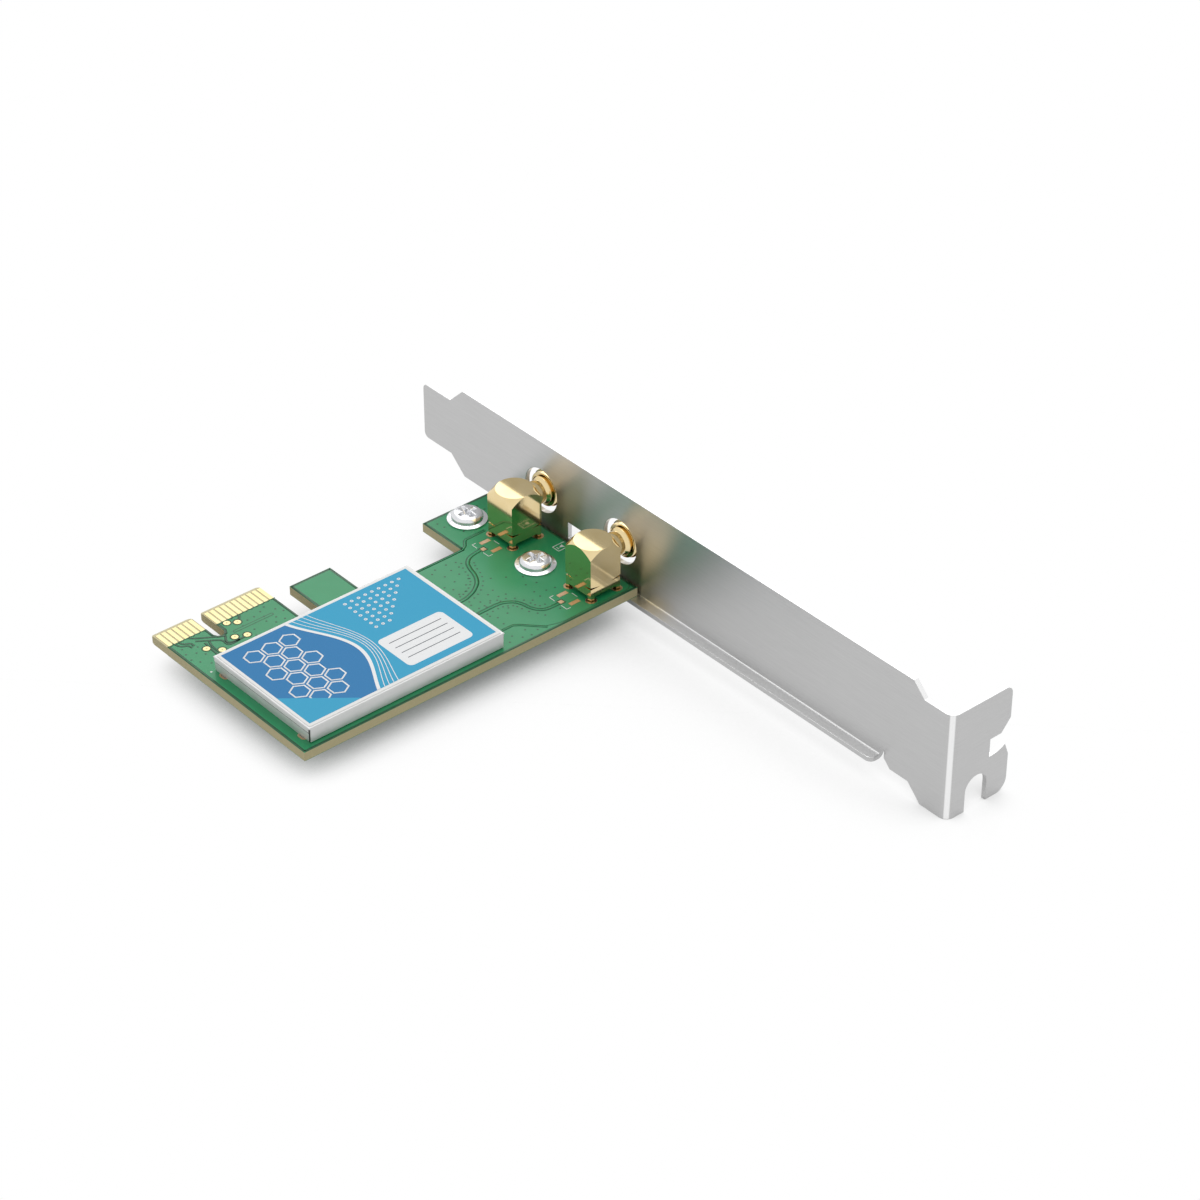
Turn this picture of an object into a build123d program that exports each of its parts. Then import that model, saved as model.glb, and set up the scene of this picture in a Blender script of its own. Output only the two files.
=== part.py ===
from build123d import *
import os

os.makedirs("parts", exist_ok=True)

# Axes: +X runs along the bracket from its tab to its foot, +Y from the board out
# through the bracket, +Z up out of the component side. z = 0 is the foot's lower edge.

# Bracket, a full-height slot bracket folded from one sheet
sheet = 0.86
bracket_length = 120.88
body_width = 18.42
body_drop = 2.68            # the foot reaches this far below the body
foot_step = 2.28            # and stops this far below the body's upper edge
tab_width = 10.19
tab_step = 3.16             # the tab's upper edge below the body's
tab_length = 6.95
tab_taper = 3.3
tab_radius = 1.0
foot_reach = 12.3           # card-side face of the body to the foot's tip
upper_step_start = 8.02     # distances back from the foot's outer face
upper_step_end = 5.78
lower_step_start = 8.15
lower_step_end = 5.48
relief_corner = 11.83
relief_near = 13.16
relief_far = 13.95
relief_bevel = 1.35
relief_rise = 1.1           # the relief's top above the flange's upper face
left_edge_rise = 0.52       # the trimmed edge beside the tab above the same face
foot_bend = 0.7             # inner radii of the two folds
flange_bend = 0.25
flange_depth = 1.9
flange_corner = 1.1
flange_start = 18.2         # from the tab's tip

# Foot outline: the screw slot, and the notch that leaves a curved lip
slot_width = 4.42
slot_from_body = 5.87
slot_rise = 3.44            # centre of the slot's round end above the foot's lower edge
foot_top_radius = 1.4
foot_low_radius = 2.2
notch_top = 13.03           # heights above the foot's lower edge
notch_shelf = 10.95
notch_floor = 7.76
lip_tip_height = 8.58
lip_side_height = 6.46
notch_bevel = 1.8
notch_depth = 4.03
lip_tip_inset = 0.81
lip_sag = 0.26

# Circuit board
board_thickness = 1.57
mask_thickness = 0.04
board_below_edge = 15.22    # component face below the body's upper edge
board_gap = 0.4             # between the bracket and the board's near edge
key_from_bracket = 56.7
wing_from_tab = 17.8
board_height = 35.7         # from the wing's back edge to the front edge
wing_width = 14.2
recess = 9.8                # main back edge in front of the wing's
hook_width = 7.85
hook_reach = 9.55
hook_from_wing = 18.7
tongue_reach = 13.15        # the edge tongue in front of the main back edge
key_to_near = 11.9
key_to_far = 8.15
key_width = 1.9
key_depth = 7.4
tongue_radius = 0.6
tongue_bevel_depth = 0.35
tongue_bevel_length = 0.9

# Edge contacts: pins 1 to 11 near the bracket, 12 to 18 beyond the key
contact_pitch = 1.0
contact_width = 0.7
contact_thickness = 0.05
contact_inset = 0.95        # from the tongue's end
contact_length = 3.5
near_contacts = 11
far_contacts = 7
key_to_contact = 1.5

# Shield can
can_from_front = 1.2
can_length = 36.9
can_width = 23.9
can_from_far = 1.9
can_height = 2.7
can_metal = 0.2
can_fit = 0.03              # play between the lid and its fence
lid_gap = 0.15              # lid's long skirt above the board
lid_short_skirt = 0.85
lid_round = 0.15            # outer radius of the lid's folded edges
fence_lip = 1.2
fence_clearance = 0.02
can_leg_width = 0.9
can_leg_spread = 19.6
can_leg_slot = 0.15         # play of a leg in its slot
land_margin = 0.45
label_thickness = 0.1
label_margin = 0.12

# Screws and the bracket's ears
screw_from_bracket = 8.43
screw_pitch = 17.0
screw_from_wing = 3.67
screw_radius = 1.45
screw_play = 0.05
screw_length = 4.6
screw_tip = 0.48            # chamfer at the screw's end
screw_head_radius = 2.59
screw_head_height = 1.16
crown_radius = 1.7          # nearly flat middle of the head, and its drop
crown_drop = 0.1
shoulder_out = 2.3          # a point of the head's round shoulder: its radius and its drop
shoulder_drop = 0.31
head_rim = 0.45             # upright rim of the head above its washer flange
screw_flange_radius = 3.29
screw_flange_height = 0.4
screw_flange_fall = 0.13    # the flange is dished to its rim
recess_radius = 1.75        # the cross recess: its arms' reach at the top and at its floor
recess_floor = 0.5
recess_arm = 0.84
recess_depth = 1.25
recess_taper = 8
board_hole_play = 0.2
ear_radius = 3.5
collar_wall = 0.55
collar_length = 0.7

# Right-angle antenna jacks
jack_pitch = 19.0
jack_from_wing = 12.05
jack_from_bracket = 5.5
jack_side = 6.05
jack_axis_height = 6.1
jack_top = 8.85
jack_block_base = 2.2
jack_standoff = 0.75
jack_base_inset = 0.05
turned_top = 1.25
turned_base = 0.45
leg_side = 0.75
leg_pitch = 5.2
leg_below = 1.1
leg_play = 0.14
neck_radius = 2.0
ring_radius = 2.4
shoulder_radius = 2.9
thread_radius = 3.175
neck_end = -0.55            # distances along the barrel from the bracket's face
ring_start = 0.0
ring_end = 0.2
shoulder_start = 0.45
thread_start = 1.2
thread_end = 6.4
thread_chamfer = 0.4
mouth_radius = 2.3
mouth_depth = 2.6
dielectric_radius = 1.55
core_fit = 0.03
contact_radius = 0.46
contact_stand = 1.8
hole_radius = 3.85
ring_land = 0.3
solder_height = 0.75
solder_spread = 0.25
solder_tip = 0.06           # solder left round the leg at the cone's point

# Window for the indicator, between the two jacks
window_from_tab = 36.37
window_length = 5.0
window_low = 0.3
window_height = 3.0

# Bare pads
pad_thickness = 0.05
pad_play = 0.05
test_pad_radius = 0.55
filter_pad_long = 1.85
filter_pad_short = 0.75
filter_node = 0.75
# Centres of one matching network's pads from its jack's axis, and of the probe pads
# from the key's open end
left_pad_offset = (-1.6, -4.85)
node_pad_offset = (-0.15, -6.35)
right_pad_offset = (1.3, -4.85)
near_probe_offsets = [(5.2, 2.4), (6.05, 3.8), (8.95, 1.2), (9.7, 3.0)]
far_probe_offsets = [(8.65, -3.85), (10.4, -2.2)]

# Parts under the can, each centre given from the can's centre
under_play = 0.02
chip_place = (0.5, -3.5)
regulator_place = (-7.5, -13.0)
front_end_places = [(-6.0, 12.0), (6.0, 12.0)]
crystal_place = (8.0, -4.0)
memory_place = (6.5, -12.5)
coil_place = (-7.0, -8.0)
signal_caps_place = (-1.5, 4.5)
supply_caps_place = (-1.5, -13.5)
resistors_place = (8.0, 2.0)
chip_side = 9.0
chip_thickness = 0.85
chip_bevel = 0.12
small_chip = 3.0
small_chip_thickness = 0.75
crystal_length = 3.2
crystal_width = 2.5
crystal_height = 0.7
crystal_lid = 0.21
crystal_lid_inset = 0.2
crystal_round = 0.3
memory_length = 4.9
memory_width = 3.9
memory_height = 1.45
memory_pitch = 1.27
memory_lead = 0.42
memory_row = 6.0
memory_leads = 4
lead_metal = 0.2
lead_foot = 0.6
coil_side = 4.0
coil_height = 1.9
coil_core_radius = 1.35
coil_flange = 0.35
coil_round = 0.6
cap_length = 1.0
cap_width = 0.5
cap_height = 0.5
cap_pitch_x = 1.6
cap_pitch_y = 1.8
signal_cap_columns = 6
supply_cap_columns = 4
resistor_height = 0.35
resistor_pitch_x = 1.4
resistor_pitch_y = 1.6

# Places worked out from the sizes
tab_x = -bracket_length / 2
foot_x = bracket_length / 2
board_reach = key_from_bracket + key_to_far
face_y = (board_reach - foot_reach) / 2
outer_y = face_y + sheet
body_low = body_drop
body_top = body_drop + body_width
foot_top = body_top - foot_step
board_top = body_top - board_below_edge
board_under = board_top - board_thickness
core_top = board_top - mask_thickness
core_under = board_under + mask_thickness
flange_under = board_under - sheet
wing_x = tab_x + wing_from_tab
front_x = wing_x + board_height
back_x = wing_x + recess
near_y = face_y - board_gap
far_y = face_y - board_reach
key_y = face_y - key_from_bracket
wing_y = near_y - wing_width
hook_near_y = wing_y - hook_from_wing
hook_far_y = hook_near_y - hook_width
hook_x = back_x - hook_reach
tongue_x = back_x - tongue_reach
tongue_near_y = key_y + key_to_near
key_end_x = tongue_x + key_depth
mask_edge_x = tongue_x + contact_inset + contact_length
screw_y = face_y - screw_from_bracket
screw_xs = [wing_x + screw_from_wing + i * screw_pitch for i in range(2)]
jack_y = face_y - jack_from_bracket
jack_xs = [wing_x + jack_from_wing + i * jack_pitch for i in range(2)]
axis_z = board_top + jack_axis_height
can_x = front_x - can_from_front - can_width / 2
can_y = far_y + can_from_far + can_length / 2
can_top = board_top + can_height
can_leg_xs = [can_x - can_leg_spread / 2 + can_leg_spread * i for i in (0, 1)]
fence_width = can_width - 2 * (can_metal + can_fit)
fence_length = can_length - 2 * (can_metal + can_fit)
can_leg_y = fence_length / 2 - can_metal / 2
window_x = tab_x + window_from_tab


def jack_leg_places(jack_x):
    """Centres of one jack's four legs."""
    return [
        (jack_x + sx * leg_pitch / 2, jack_y + sy * leg_pitch / 2)
        for sx in (-1, 1)
        for sy in (-1, 1)
    ]


def can_leg_places():
    """Centres of the fence's four legs, on the can's two short-skirt sides."""
    return [(x, can_y + side * can_leg_y) for x in can_leg_xs for side in (-1, 1)]


def contact_ys():
    """Centres of the contacts, either side of the key."""
    near = [key_y + key_to_contact + i * contact_pitch for i in range(near_contacts)]
    far = [key_y - key_to_contact - i * contact_pitch for i in range(far_contacts)]
    return near + far


def test_pad_places():
    """Six round probe pads between the tongue and the can."""
    offsets = near_probe_offsets + far_probe_offsets
    return [(tongue_x + dx, key_y + dy) for dx, dy in offsets]


def filter_pads(jack_x):
    """Three bare pads of one matching network: centre, length and width along X and Y."""
    shapes = [
        (left_pad_offset, filter_pad_short, filter_pad_long),
        (node_pad_offset, filter_node, filter_node),
        (right_pad_offset, filter_pad_short, filter_pad_long),
    ]
    return [(jack_x + dx, jack_y + dy, long, wide) for (dx, dy), long, wide in shapes]


def under_can(place):
    """A point given from the can's centre."""
    return (can_x + place[0], can_y + place[1])


def board_outline():
    """Plan of the board: wing, hook tab, keyed tongue and long front edge."""
    with BuildSketch() as plan:
        with BuildLine():
            Polyline(
                (front_x, far_y),
                (front_x, near_y),
                (wing_x, near_y),
                (wing_x, wing_y),
                (back_x, wing_y),
                (back_x, hook_near_y),
                (hook_x, hook_near_y),
                (hook_x, hook_far_y),
                (back_x, hook_far_y),
                (back_x, tongue_near_y),
                (tongue_x, tongue_near_y),
                (tongue_x, far_y),
                close=True,
            )
        make_face()
        with Locations((key_end_x - key_width / 2, key_y)):
            Circle(key_width / 2, mode=Mode.SUBTRACT)
        with Locations((tongue_x, key_y)):
            Rectangle(
                key_depth - key_width / 2,
                key_width,
                align=(Align.MIN, Align.CENTER),
                mode=Mode.SUBTRACT,
            )
        ends = plan.vertices().filter_by_position(Axis.X, tongue_x - 0.01, tongue_x + 0.01)
        fillet(ends, radius=tongue_radius)
    return plan.sketch


def board_holes():
    """Holes through the board, as one flat pattern."""
    with BuildSketch() as pattern:
        with Locations(*[(x, screw_y) for x in screw_xs]):
            Circle(screw_radius + board_hole_play)
        for jack_x in jack_xs:
            with Locations(*jack_leg_places(jack_x), (jack_x, jack_y)):
                Circle(leg_side / 2**0.5 + leg_play / 2)
        with Locations(*can_leg_places()):
            Rectangle(can_leg_width + 2 * can_leg_slot, can_metal + 2 * can_leg_slot)
    return pattern.sketch


def finish(part, name):
    """Label a finished piece and write it out."""
    part.label = name
    export_step(part, f"parts/{name}.step")


# Bracket: an L-shaped strip cut to the outline of its body, then flanged and pierced
with BuildPart() as bracket:
    with BuildSketch(Plane.XY) as strip:
        with Locations((tab_x, face_y)):
            Rectangle(bracket_length, foot_reach, align=(Align.MIN, Align.MIN))
        with Locations((tab_x, outer_y)):
            Rectangle(
                bracket_length - sheet,
                foot_reach,
                align=(Align.MIN, Align.MIN),
                mode=Mode.SUBTRACT,
            )
        fillet(strip.vertices().sort_by_distance((foot_x, face_y))[0], foot_bend + sheet)
        fillet(strip.vertices().sort_by_distance((foot_x - sheet, outer_y))[0], foot_bend)
    extrude(amount=body_top)
    with BuildSketch(Plane.XZ.offset(-face_y)) as outline:
        tab_top = body_top - tab_step
        tab_low = tab_top - tab_width
        left_low = board_under + left_edge_rise
        fold_line = board_under + flange_bend
        relief_top = board_under + relief_rise
        relief_radius = (relief_far - relief_near) / 2
        with BuildLine():
            Polyline(
                (foot_x - relief_far, relief_top - relief_radius),
                (foot_x - relief_far, fold_line),
                (tab_x + flange_start, fold_line),
                (tab_x + flange_start, left_low),
                (tab_x + tab_length + tab_taper, left_low),
                (tab_x + tab_length, tab_low),
                (tab_x, tab_low),
                (tab_x, tab_top),
                (tab_x + tab_length, tab_top),
                (tab_x + tab_length + tab_taper, body_top),
                (foot_x - upper_step_start, body_top),
                (foot_x - upper_step_end, foot_top),
                (foot_x, foot_top),
                (foot_x, 0),
                (foot_x - lower_step_end, 0),
                (foot_x - lower_step_start, body_low),
                (foot_x - relief_corner, body_low),
                (foot_x - relief_near, body_low + relief_bevel),
                (foot_x - relief_near, relief_top - relief_radius),
            )
            ThreePointArc(
                (foot_x - relief_near, relief_top - relief_radius),
                (foot_x - relief_near - relief_radius, relief_top),
                (foot_x - relief_far, relief_top - relief_radius),
            )
        make_face()
        tab_corners = outline.vertices().filter_by_position(Axis.X, tab_x - 0.01, tab_x + 0.01)
        fillet(tab_corners, tab_radius)
    extrude(amount=foot_reach + sheet, both=True, mode=Mode.INTERSECT)
    # Flange under the board, folded towards the card, with the two tapped ears
    with BuildSketch(Plane.YZ.offset(tab_x + flange_start)) as fold:
        with Locations((face_y - flange_depth, flange_under)):
            Rectangle(flange_depth + sheet, sheet, align=(Align.MIN, Align.MIN))
        with Locations((face_y, flange_under)):
            Rectangle(sheet, sheet + 2 * flange_bend, align=(Align.MIN, Align.MIN))
        fillet(fold.vertices().sort_by_distance((outer_y, flange_under))[0], flange_bend + sheet)
        fillet(fold.vertices().sort_by_distance((face_y, board_under))[0], flange_bend)
    extrude(amount=bracket_length - relief_far - flange_start)
    end_corner = (foot_x - relief_far, face_y - flange_depth, flange_under + sheet / 2)
    fillet(bracket.edges().filter_by(Axis.Z).sort_by_distance(end_corner)[0], flange_corner)
    with BuildSketch(Plane.XY.offset(flange_under)):
        for x in screw_xs:
            with Locations((x, screw_y)):
                Circle(ear_radius)
                Rectangle(
                    2 * ear_radius,
                    screw_from_bracket - flange_depth / 2,
                    align=(Align.CENTER, Align.MIN),
                )
    extrude(amount=sheet)
    with BuildSketch(Plane.XY.offset(flange_under)):
        with Locations(*[(x, screw_y) for x in screw_xs]):
            Circle(screw_radius + screw_play + collar_wall)
    extrude(amount=-collar_length)
    with BuildSketch(Plane.XY.offset(board_under)):
        with Locations(*[(x, screw_y) for x in screw_xs]):
            Circle(screw_radius + screw_play)
    extrude(amount=-sheet - collar_length, mode=Mode.SUBTRACT)
    # Jack holes and indicator window through the body
    with BuildSketch(Plane.XZ.offset(-face_y)):
        with Locations(*[(x, axis_z) for x in jack_xs]):
            Circle(hole_radius)
        with Locations((window_x, board_top + window_low)):
            Rectangle(window_length, window_height, align=(Align.MIN, Align.MIN))
    extrude(amount=-sheet, mode=Mode.SUBTRACT)
    # Foot: screw slot open downwards, and the side notch over its curved lip
    tip_y = face_y + foot_reach
    slot_y = face_y + slot_from_body
    notch_y = tip_y - notch_depth
    with BuildSketch(Plane.YZ.offset(foot_x)):
        with Locations((slot_y, slot_rise)):
            Circle(slot_width / 2)
            Rectangle(slot_width, slot_rise, align=(Align.CENTER, Align.MAX))
        with BuildLine():
            lip = ThreePointArc(
                (notch_y, notch_floor),
                (
                    (notch_y + tip_y - lip_tip_inset) / 2,
                    (notch_floor + lip_tip_height) / 2 - lip_sag,
                ),
                (tip_y - lip_tip_inset, lip_tip_height),
            )
            Polyline(
                lip @ 1,
                (tip_y, lip_side_height),
                (tip_y + sheet, lip_side_height),
                (tip_y + sheet, notch_top),
                (tip_y, notch_top),
                (tip_y - notch_bevel, notch_shelf),
                (notch_y, notch_shelf),
                lip @ 0,
            )
        make_face()
    extrude(amount=-sheet, mode=Mode.SUBTRACT)
    sides = bracket.edges().filter_by(Axis.X)
    fillet(sides.sort_by_distance((foot_x - sheet / 2, tip_y, foot_top))[0], foot_top_radius)
    sides = bracket.edges().filter_by(Axis.X)
    fillet(sides.sort_by_distance((foot_x - sheet / 2, tip_y, 0))[0], foot_low_radius)

finish(bracket.part, "bracket")

# Board: laminate core, its tongue bevelled on both faces for the slot
with BuildPart() as circuit_board:
    with BuildSketch(Plane.XY.offset(core_under)):
        add(board_outline())
        add(board_holes(), mode=Mode.SUBTRACT)
    extrude(amount=core_top - core_under)
    with BuildSketch(Plane.XZ.offset(-tongue_near_y)):
        for z, side in ((core_top, -1), (core_under, 1)):
            with BuildLine():
                Polyline(
                    (tongue_x, z),
                    (tongue_x + tongue_bevel_length, z),
                    (tongue_x, z + side * tongue_bevel_depth),
                    close=True,
                )
            make_face()
    extrude(amount=tongue_near_y - far_y, mode=Mode.SUBTRACT)

finish(circuit_board.part, "circuit_board")


def solder_mask(low, openings):
    """One coat of mask, from the board's outline less the tongue's end and its openings."""
    with BuildPart() as coat:
        with BuildSketch(Plane.XY.offset(low)):
            add(board_outline())
            add(board_holes(), mode=Mode.SUBTRACT)
            with Locations((mask_edge_x, key_y)):
                Rectangle(
                    mask_edge_x - tongue_x + tongue_radius,
                    2 * key_to_near,
                    align=(Align.MAX, Align.CENTER),
                    mode=Mode.SUBTRACT,
                )
            add(openings, mode=Mode.SUBTRACT)
        extrude(amount=mask_thickness)
    return coat.part


def land_radius():
    """Outer radius of the plated ring round a jack's leg."""
    return leg_side / 2**0.5 + leg_play / 2 + ring_land


def mask_openings():
    """Openings in the coat over every bare pad of the component side."""
    with BuildSketch() as pattern:
        with Locations(*test_pad_places()):
            Circle(test_pad_radius + pad_play)
        for jack_x in jack_xs:
            with Locations(*jack_leg_places(jack_x)):
                Circle(land_radius() + pad_play)
            for x, y, long, wide in filter_pads(jack_x):
                with Locations((x, y)):
                    Rectangle(long + 2 * pad_play, wide + 2 * pad_play)
        with Locations(*can_leg_places()):
            SlotOverall(
                can_leg_width + 2 * (land_margin + pad_play),
                can_metal + 2 * (land_margin + pad_play),
            )
    return pattern.sketch


def ring_openings():
    """Openings round the jacks' legs on the solder side."""
    with BuildSketch() as pattern:
        for jack_x in jack_xs:
            with Locations(*jack_leg_places(jack_x), (jack_x, jack_y)):
                Circle(land_radius() + pad_play)
    return pattern.sketch


finish(solder_mask(core_top, mask_openings()), "solder_mask_top")
finish(solder_mask(board_under, ring_openings()), "solder_mask_bottom")


def contact_row(low):
    """One face's row of contacts, the key's gap left between its two runs."""
    with BuildPart() as row:
        with BuildSketch(Plane.XY.offset(low)):
            with Locations(*[(tongue_x + contact_inset, y) for y in contact_ys()]):
                Rectangle(contact_length, contact_width, align=(Align.MIN, Align.CENTER))
        extrude(amount=contact_thickness)
    return row.part


finish(contact_row(core_top), "edge_contacts_top")
finish(contact_row(core_under - contact_thickness), "edge_contacts_bottom")

# Bare pads: probe pads, rings round the jacks' legs and the matching networks
with BuildPart() as test_pads:
    with BuildSketch(Plane.XY.offset(core_top)):
        with Locations(*test_pad_places()):
            Circle(test_pad_radius)
    extrude(amount=pad_thickness)

finish(test_pads.part, "test_pads")

with BuildPart() as jack_lands:
    for low in (core_top, core_under - pad_thickness):
        with BuildSketch(Plane.XY.offset(low)):
            for jack_x in jack_xs:
                with Locations(*jack_leg_places(jack_x)):
                    Circle(land_radius())
                    Circle(land_radius() - ring_land, mode=Mode.SUBTRACT)
        extrude(amount=pad_thickness)

finish(jack_lands.part, "jack_lands")

for number, jack_x in enumerate(jack_xs, start=1):
    with BuildPart() as filter_lands:
        with BuildSketch(Plane.XY.offset(core_top)):
            for x, y, long, wide in filter_pads(jack_x):
                with Locations((x, y)):
                    Rectangle(long, wide)
        extrude(amount=pad_thickness)
    finish(filter_lands.part, f"filter_lands_{number}")

with BuildPart() as shield_lands:
    with BuildSketch(Plane.XY.offset(core_top)):
        with Locations(*can_leg_places()):
            SlotOverall(can_leg_width + 2 * land_margin, can_metal + 2 * land_margin)
            Rectangle(
                can_leg_width + 2 * can_leg_slot,
                can_metal + 2 * can_leg_slot,
                mode=Mode.SUBTRACT,
            )
    extrude(amount=pad_thickness)

finish(shield_lands.part, "shield_lands")

# Shield fence: four walls with an inturned lip, and legs in the board's slots
fence_top = can_top - can_metal - fence_clearance
fence_low = board_top + fence_clearance

with BuildPart() as shield_frame:
    with BuildSketch(Plane.XY.offset(fence_low)):
        with Locations((can_x, can_y)):
            Rectangle(fence_width, fence_length)
            Rectangle(
                fence_width - 2 * can_metal, fence_length - 2 * can_metal, mode=Mode.SUBTRACT
            )
    extrude(amount=fence_top - fence_low)
    with BuildSketch(Plane.XY.offset(fence_top)):
        with Locations((can_x, can_y)):
            Rectangle(fence_width, fence_length)
            Rectangle(
                fence_width - 2 * fence_lip, fence_length - 2 * fence_lip, mode=Mode.SUBTRACT
            )
    extrude(amount=-can_metal)
    with BuildSketch(Plane.XY.offset(board_under)):
        with Locations(*can_leg_places()):
            Rectangle(can_leg_width, can_metal)
    extrude(amount=fence_low - board_under)

finish(shield_frame.part, "shield_frame")

# Shield lid: a folded tray with open corners, long skirts fore and aft, short ones at the sides
with BuildPart() as shield_cover:
    with BuildSketch(Plane.XY.offset(can_top - can_metal)):
        with Locations((can_x, can_y)):
            Rectangle(can_width, can_length)
    extrude(amount=can_metal)
    long_skirt = can_height - lid_gap
    for side in (-1, 1):
        with BuildSketch(Plane.XY.offset(can_top)):
            with Locations((can_x + side * (can_width - can_metal) / 2, can_y)):
                Rectangle(can_metal, can_length - 2 * (can_metal + can_fit))
        extrude(amount=-long_skirt)
        with BuildSketch(Plane.XY.offset(can_top)):
            with Locations((can_x, can_y + side * (can_length - can_metal) / 2)):
                Rectangle(can_width - 2 * (can_metal + can_fit), can_metal)
        extrude(amount=-lid_short_skirt)
    rim = shield_cover.faces().sort_by(Axis.Z)[-1].edges()
    fillet(rim, lid_round)

finish(shield_cover.part, "shield_cover")

with BuildPart() as shield_label:
    with BuildSketch(Plane.XY.offset(can_top)):
        with Locations((can_x, can_y)):
            RectangleRounded(
                can_width - 2 * (can_metal + label_margin),
                can_length - 2 * (can_metal + label_margin),
                radius=label_margin * 2,
            )
    extrude(amount=label_thickness)

finish(shield_label.part, "shield_label")

# Cross recess of a screw, its top at the origin: four arms that deepen to the middle
with BuildPart() as recess:
    with BuildSketch():
        Rectangle(2 * recess_radius, recess_arm)
        Rectangle(recess_arm, 2 * recess_radius)
    extrude(amount=-recess_depth, taper=recess_taper)
    with Locations((0, 0, -recess_depth)):
        Cone(
            recess_floor,
            recess_radius,
            recess_depth,
            align=(Align.CENTER, Align.CENTER, Align.MIN),
            mode=Mode.INTERSECT,
        )

# Screws: turned blanks with a washer flange, a domed head and a cross recess
with BuildPart() as board_screws:
    for x in screw_xs:
        with BuildSketch(Plane.XZ.offset(-screw_y)):
            with BuildLine():
                dome_foot = board_top + screw_flange_height
                dome_top = dome_foot + screw_head_height
                crown = TangentArc(
                    (x, dome_top),
                    (x + crown_radius, dome_top - crown_drop),
                    tangent=(1, 0),
                )
                shoulder = ThreePointArc(
                    crown @ 1,
                    (x + shoulder_out, dome_top - shoulder_drop),
                    (x + screw_head_radius, dome_foot + head_rim),
                )
                Polyline(
                    shoulder @ 1,
                    (x + screw_head_radius, dome_foot),
                    (x + screw_flange_radius, dome_foot - screw_flange_fall),
                    (x + screw_flange_radius, board_top),
                    (x + screw_radius, board_top),
                    (x + screw_radius, board_top - screw_length + screw_tip),
                    (x + screw_radius - screw_tip, board_top - screw_length),
                    (x, board_top - screw_length),
                    crown @ 0,
                )
            make_face()
        revolve(axis=Axis((x, screw_y, 0), (0, 0, 1)))
    with Locations(*[(x, screw_y, dome_top) for x in screw_xs]):
        add(recess.part, mode=Mode.SUBTRACT)

finish(board_screws.part, "board_screws")


def jack_body(jack_x):
    """Square block turned at both ends, on a legged base, with a stepped threaded barrel."""
    half = jack_side / 2
    corner = half * 2**0.5
    base_low = board_top + jack_standoff
    block_low = board_top + jack_block_base
    block_top = board_top + jack_top
    with BuildPart() as body:
        with BuildSketch(Plane.XY.offset(block_low)):
            with Locations((jack_x, jack_y)):
                Rectangle(jack_side, jack_side)
        extrude(amount=block_top - block_low)
        # The lathe leaves arches on the four faces, steep above and shallow below
        with BuildSketch(Plane.XZ.offset(-jack_y)):
            with BuildLine():
                Polyline(
                    (jack_x, block_low),
                    (jack_x + half, block_low),
                    (jack_x + corner, block_low + turned_base),
                    (jack_x + corner, block_top - turned_top),
                    (jack_x + half, block_top),
                    (jack_x, block_top),
                    close=True,
                )
            make_face()
        revolve(axis=Axis((jack_x, jack_y, 0), (0, 0, 1)), mode=Mode.INTERSECT)
        with BuildSketch(Plane.XY.offset(base_low)):
            with Locations((jack_x, jack_y)):
                Rectangle(jack_side - 2 * jack_base_inset, jack_side - 2 * jack_base_inset)
        extrude(amount=block_low - base_low)
        with BuildSketch(Plane.XY.offset(base_low)):
            with Locations(*jack_leg_places(jack_x)):
                Rectangle(leg_side, leg_side)
        extrude(amount=-(base_low - board_under + leg_below))
        # Barrel: neck, flared ring, shoulder in the bracket's hole, threaded end outside
        with BuildSketch(Plane.YZ.offset(jack_x)):
            with BuildLine():
                Polyline(
                    (jack_y, axis_z),
                    (jack_y, axis_z + neck_radius),
                    (face_y + neck_end, axis_z + neck_radius),
                    (face_y + ring_start, axis_z + ring_radius),
                    (face_y + ring_end, axis_z + ring_radius),
                    (face_y + ring_end, axis_z + neck_radius),
                    (face_y + shoulder_start, axis_z + neck_radius),
                    (face_y + shoulder_start, axis_z + shoulder_radius),
                    (face_y + thread_start, axis_z + shoulder_radius),
                    (face_y + thread_start, axis_z + thread_radius),
                    (face_y + thread_end - thread_chamfer, axis_z + thread_radius),
                    (face_y + thread_end, axis_z + thread_radius - thread_chamfer),
                    (face_y + thread_end, axis_z),
                    close=True,
                )
            make_face()
        revolve(axis=Axis((jack_x, 0, axis_z), (0, 1, 0)))
        # Bores for the dielectric, one down the barrel and one down through the base
        with BuildSketch(Plane.XZ.offset(-face_y - thread_end)):
            with Locations((jack_x, axis_z)):
                Circle(dielectric_radius + core_fit)
        extrude(amount=thread_end + jack_from_bracket, mode=Mode.SUBTRACT)
        with BuildSketch(Plane.XZ.offset(-face_y - thread_end)):
            with Locations((jack_x, axis_z)):
                Circle(mouth_radius)
        extrude(amount=mouth_depth, mode=Mode.SUBTRACT)
        with BuildSketch(Plane.XY.offset(base_low)):
            with Locations((jack_x, jack_y)):
                Circle(dielectric_radius + core_fit)
        extrude(amount=axis_z - base_low, mode=Mode.SUBTRACT)
        with Locations((jack_x, jack_y, axis_z)):
            Sphere(dielectric_radius + core_fit, mode=Mode.SUBTRACT)
    return body.part


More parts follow.
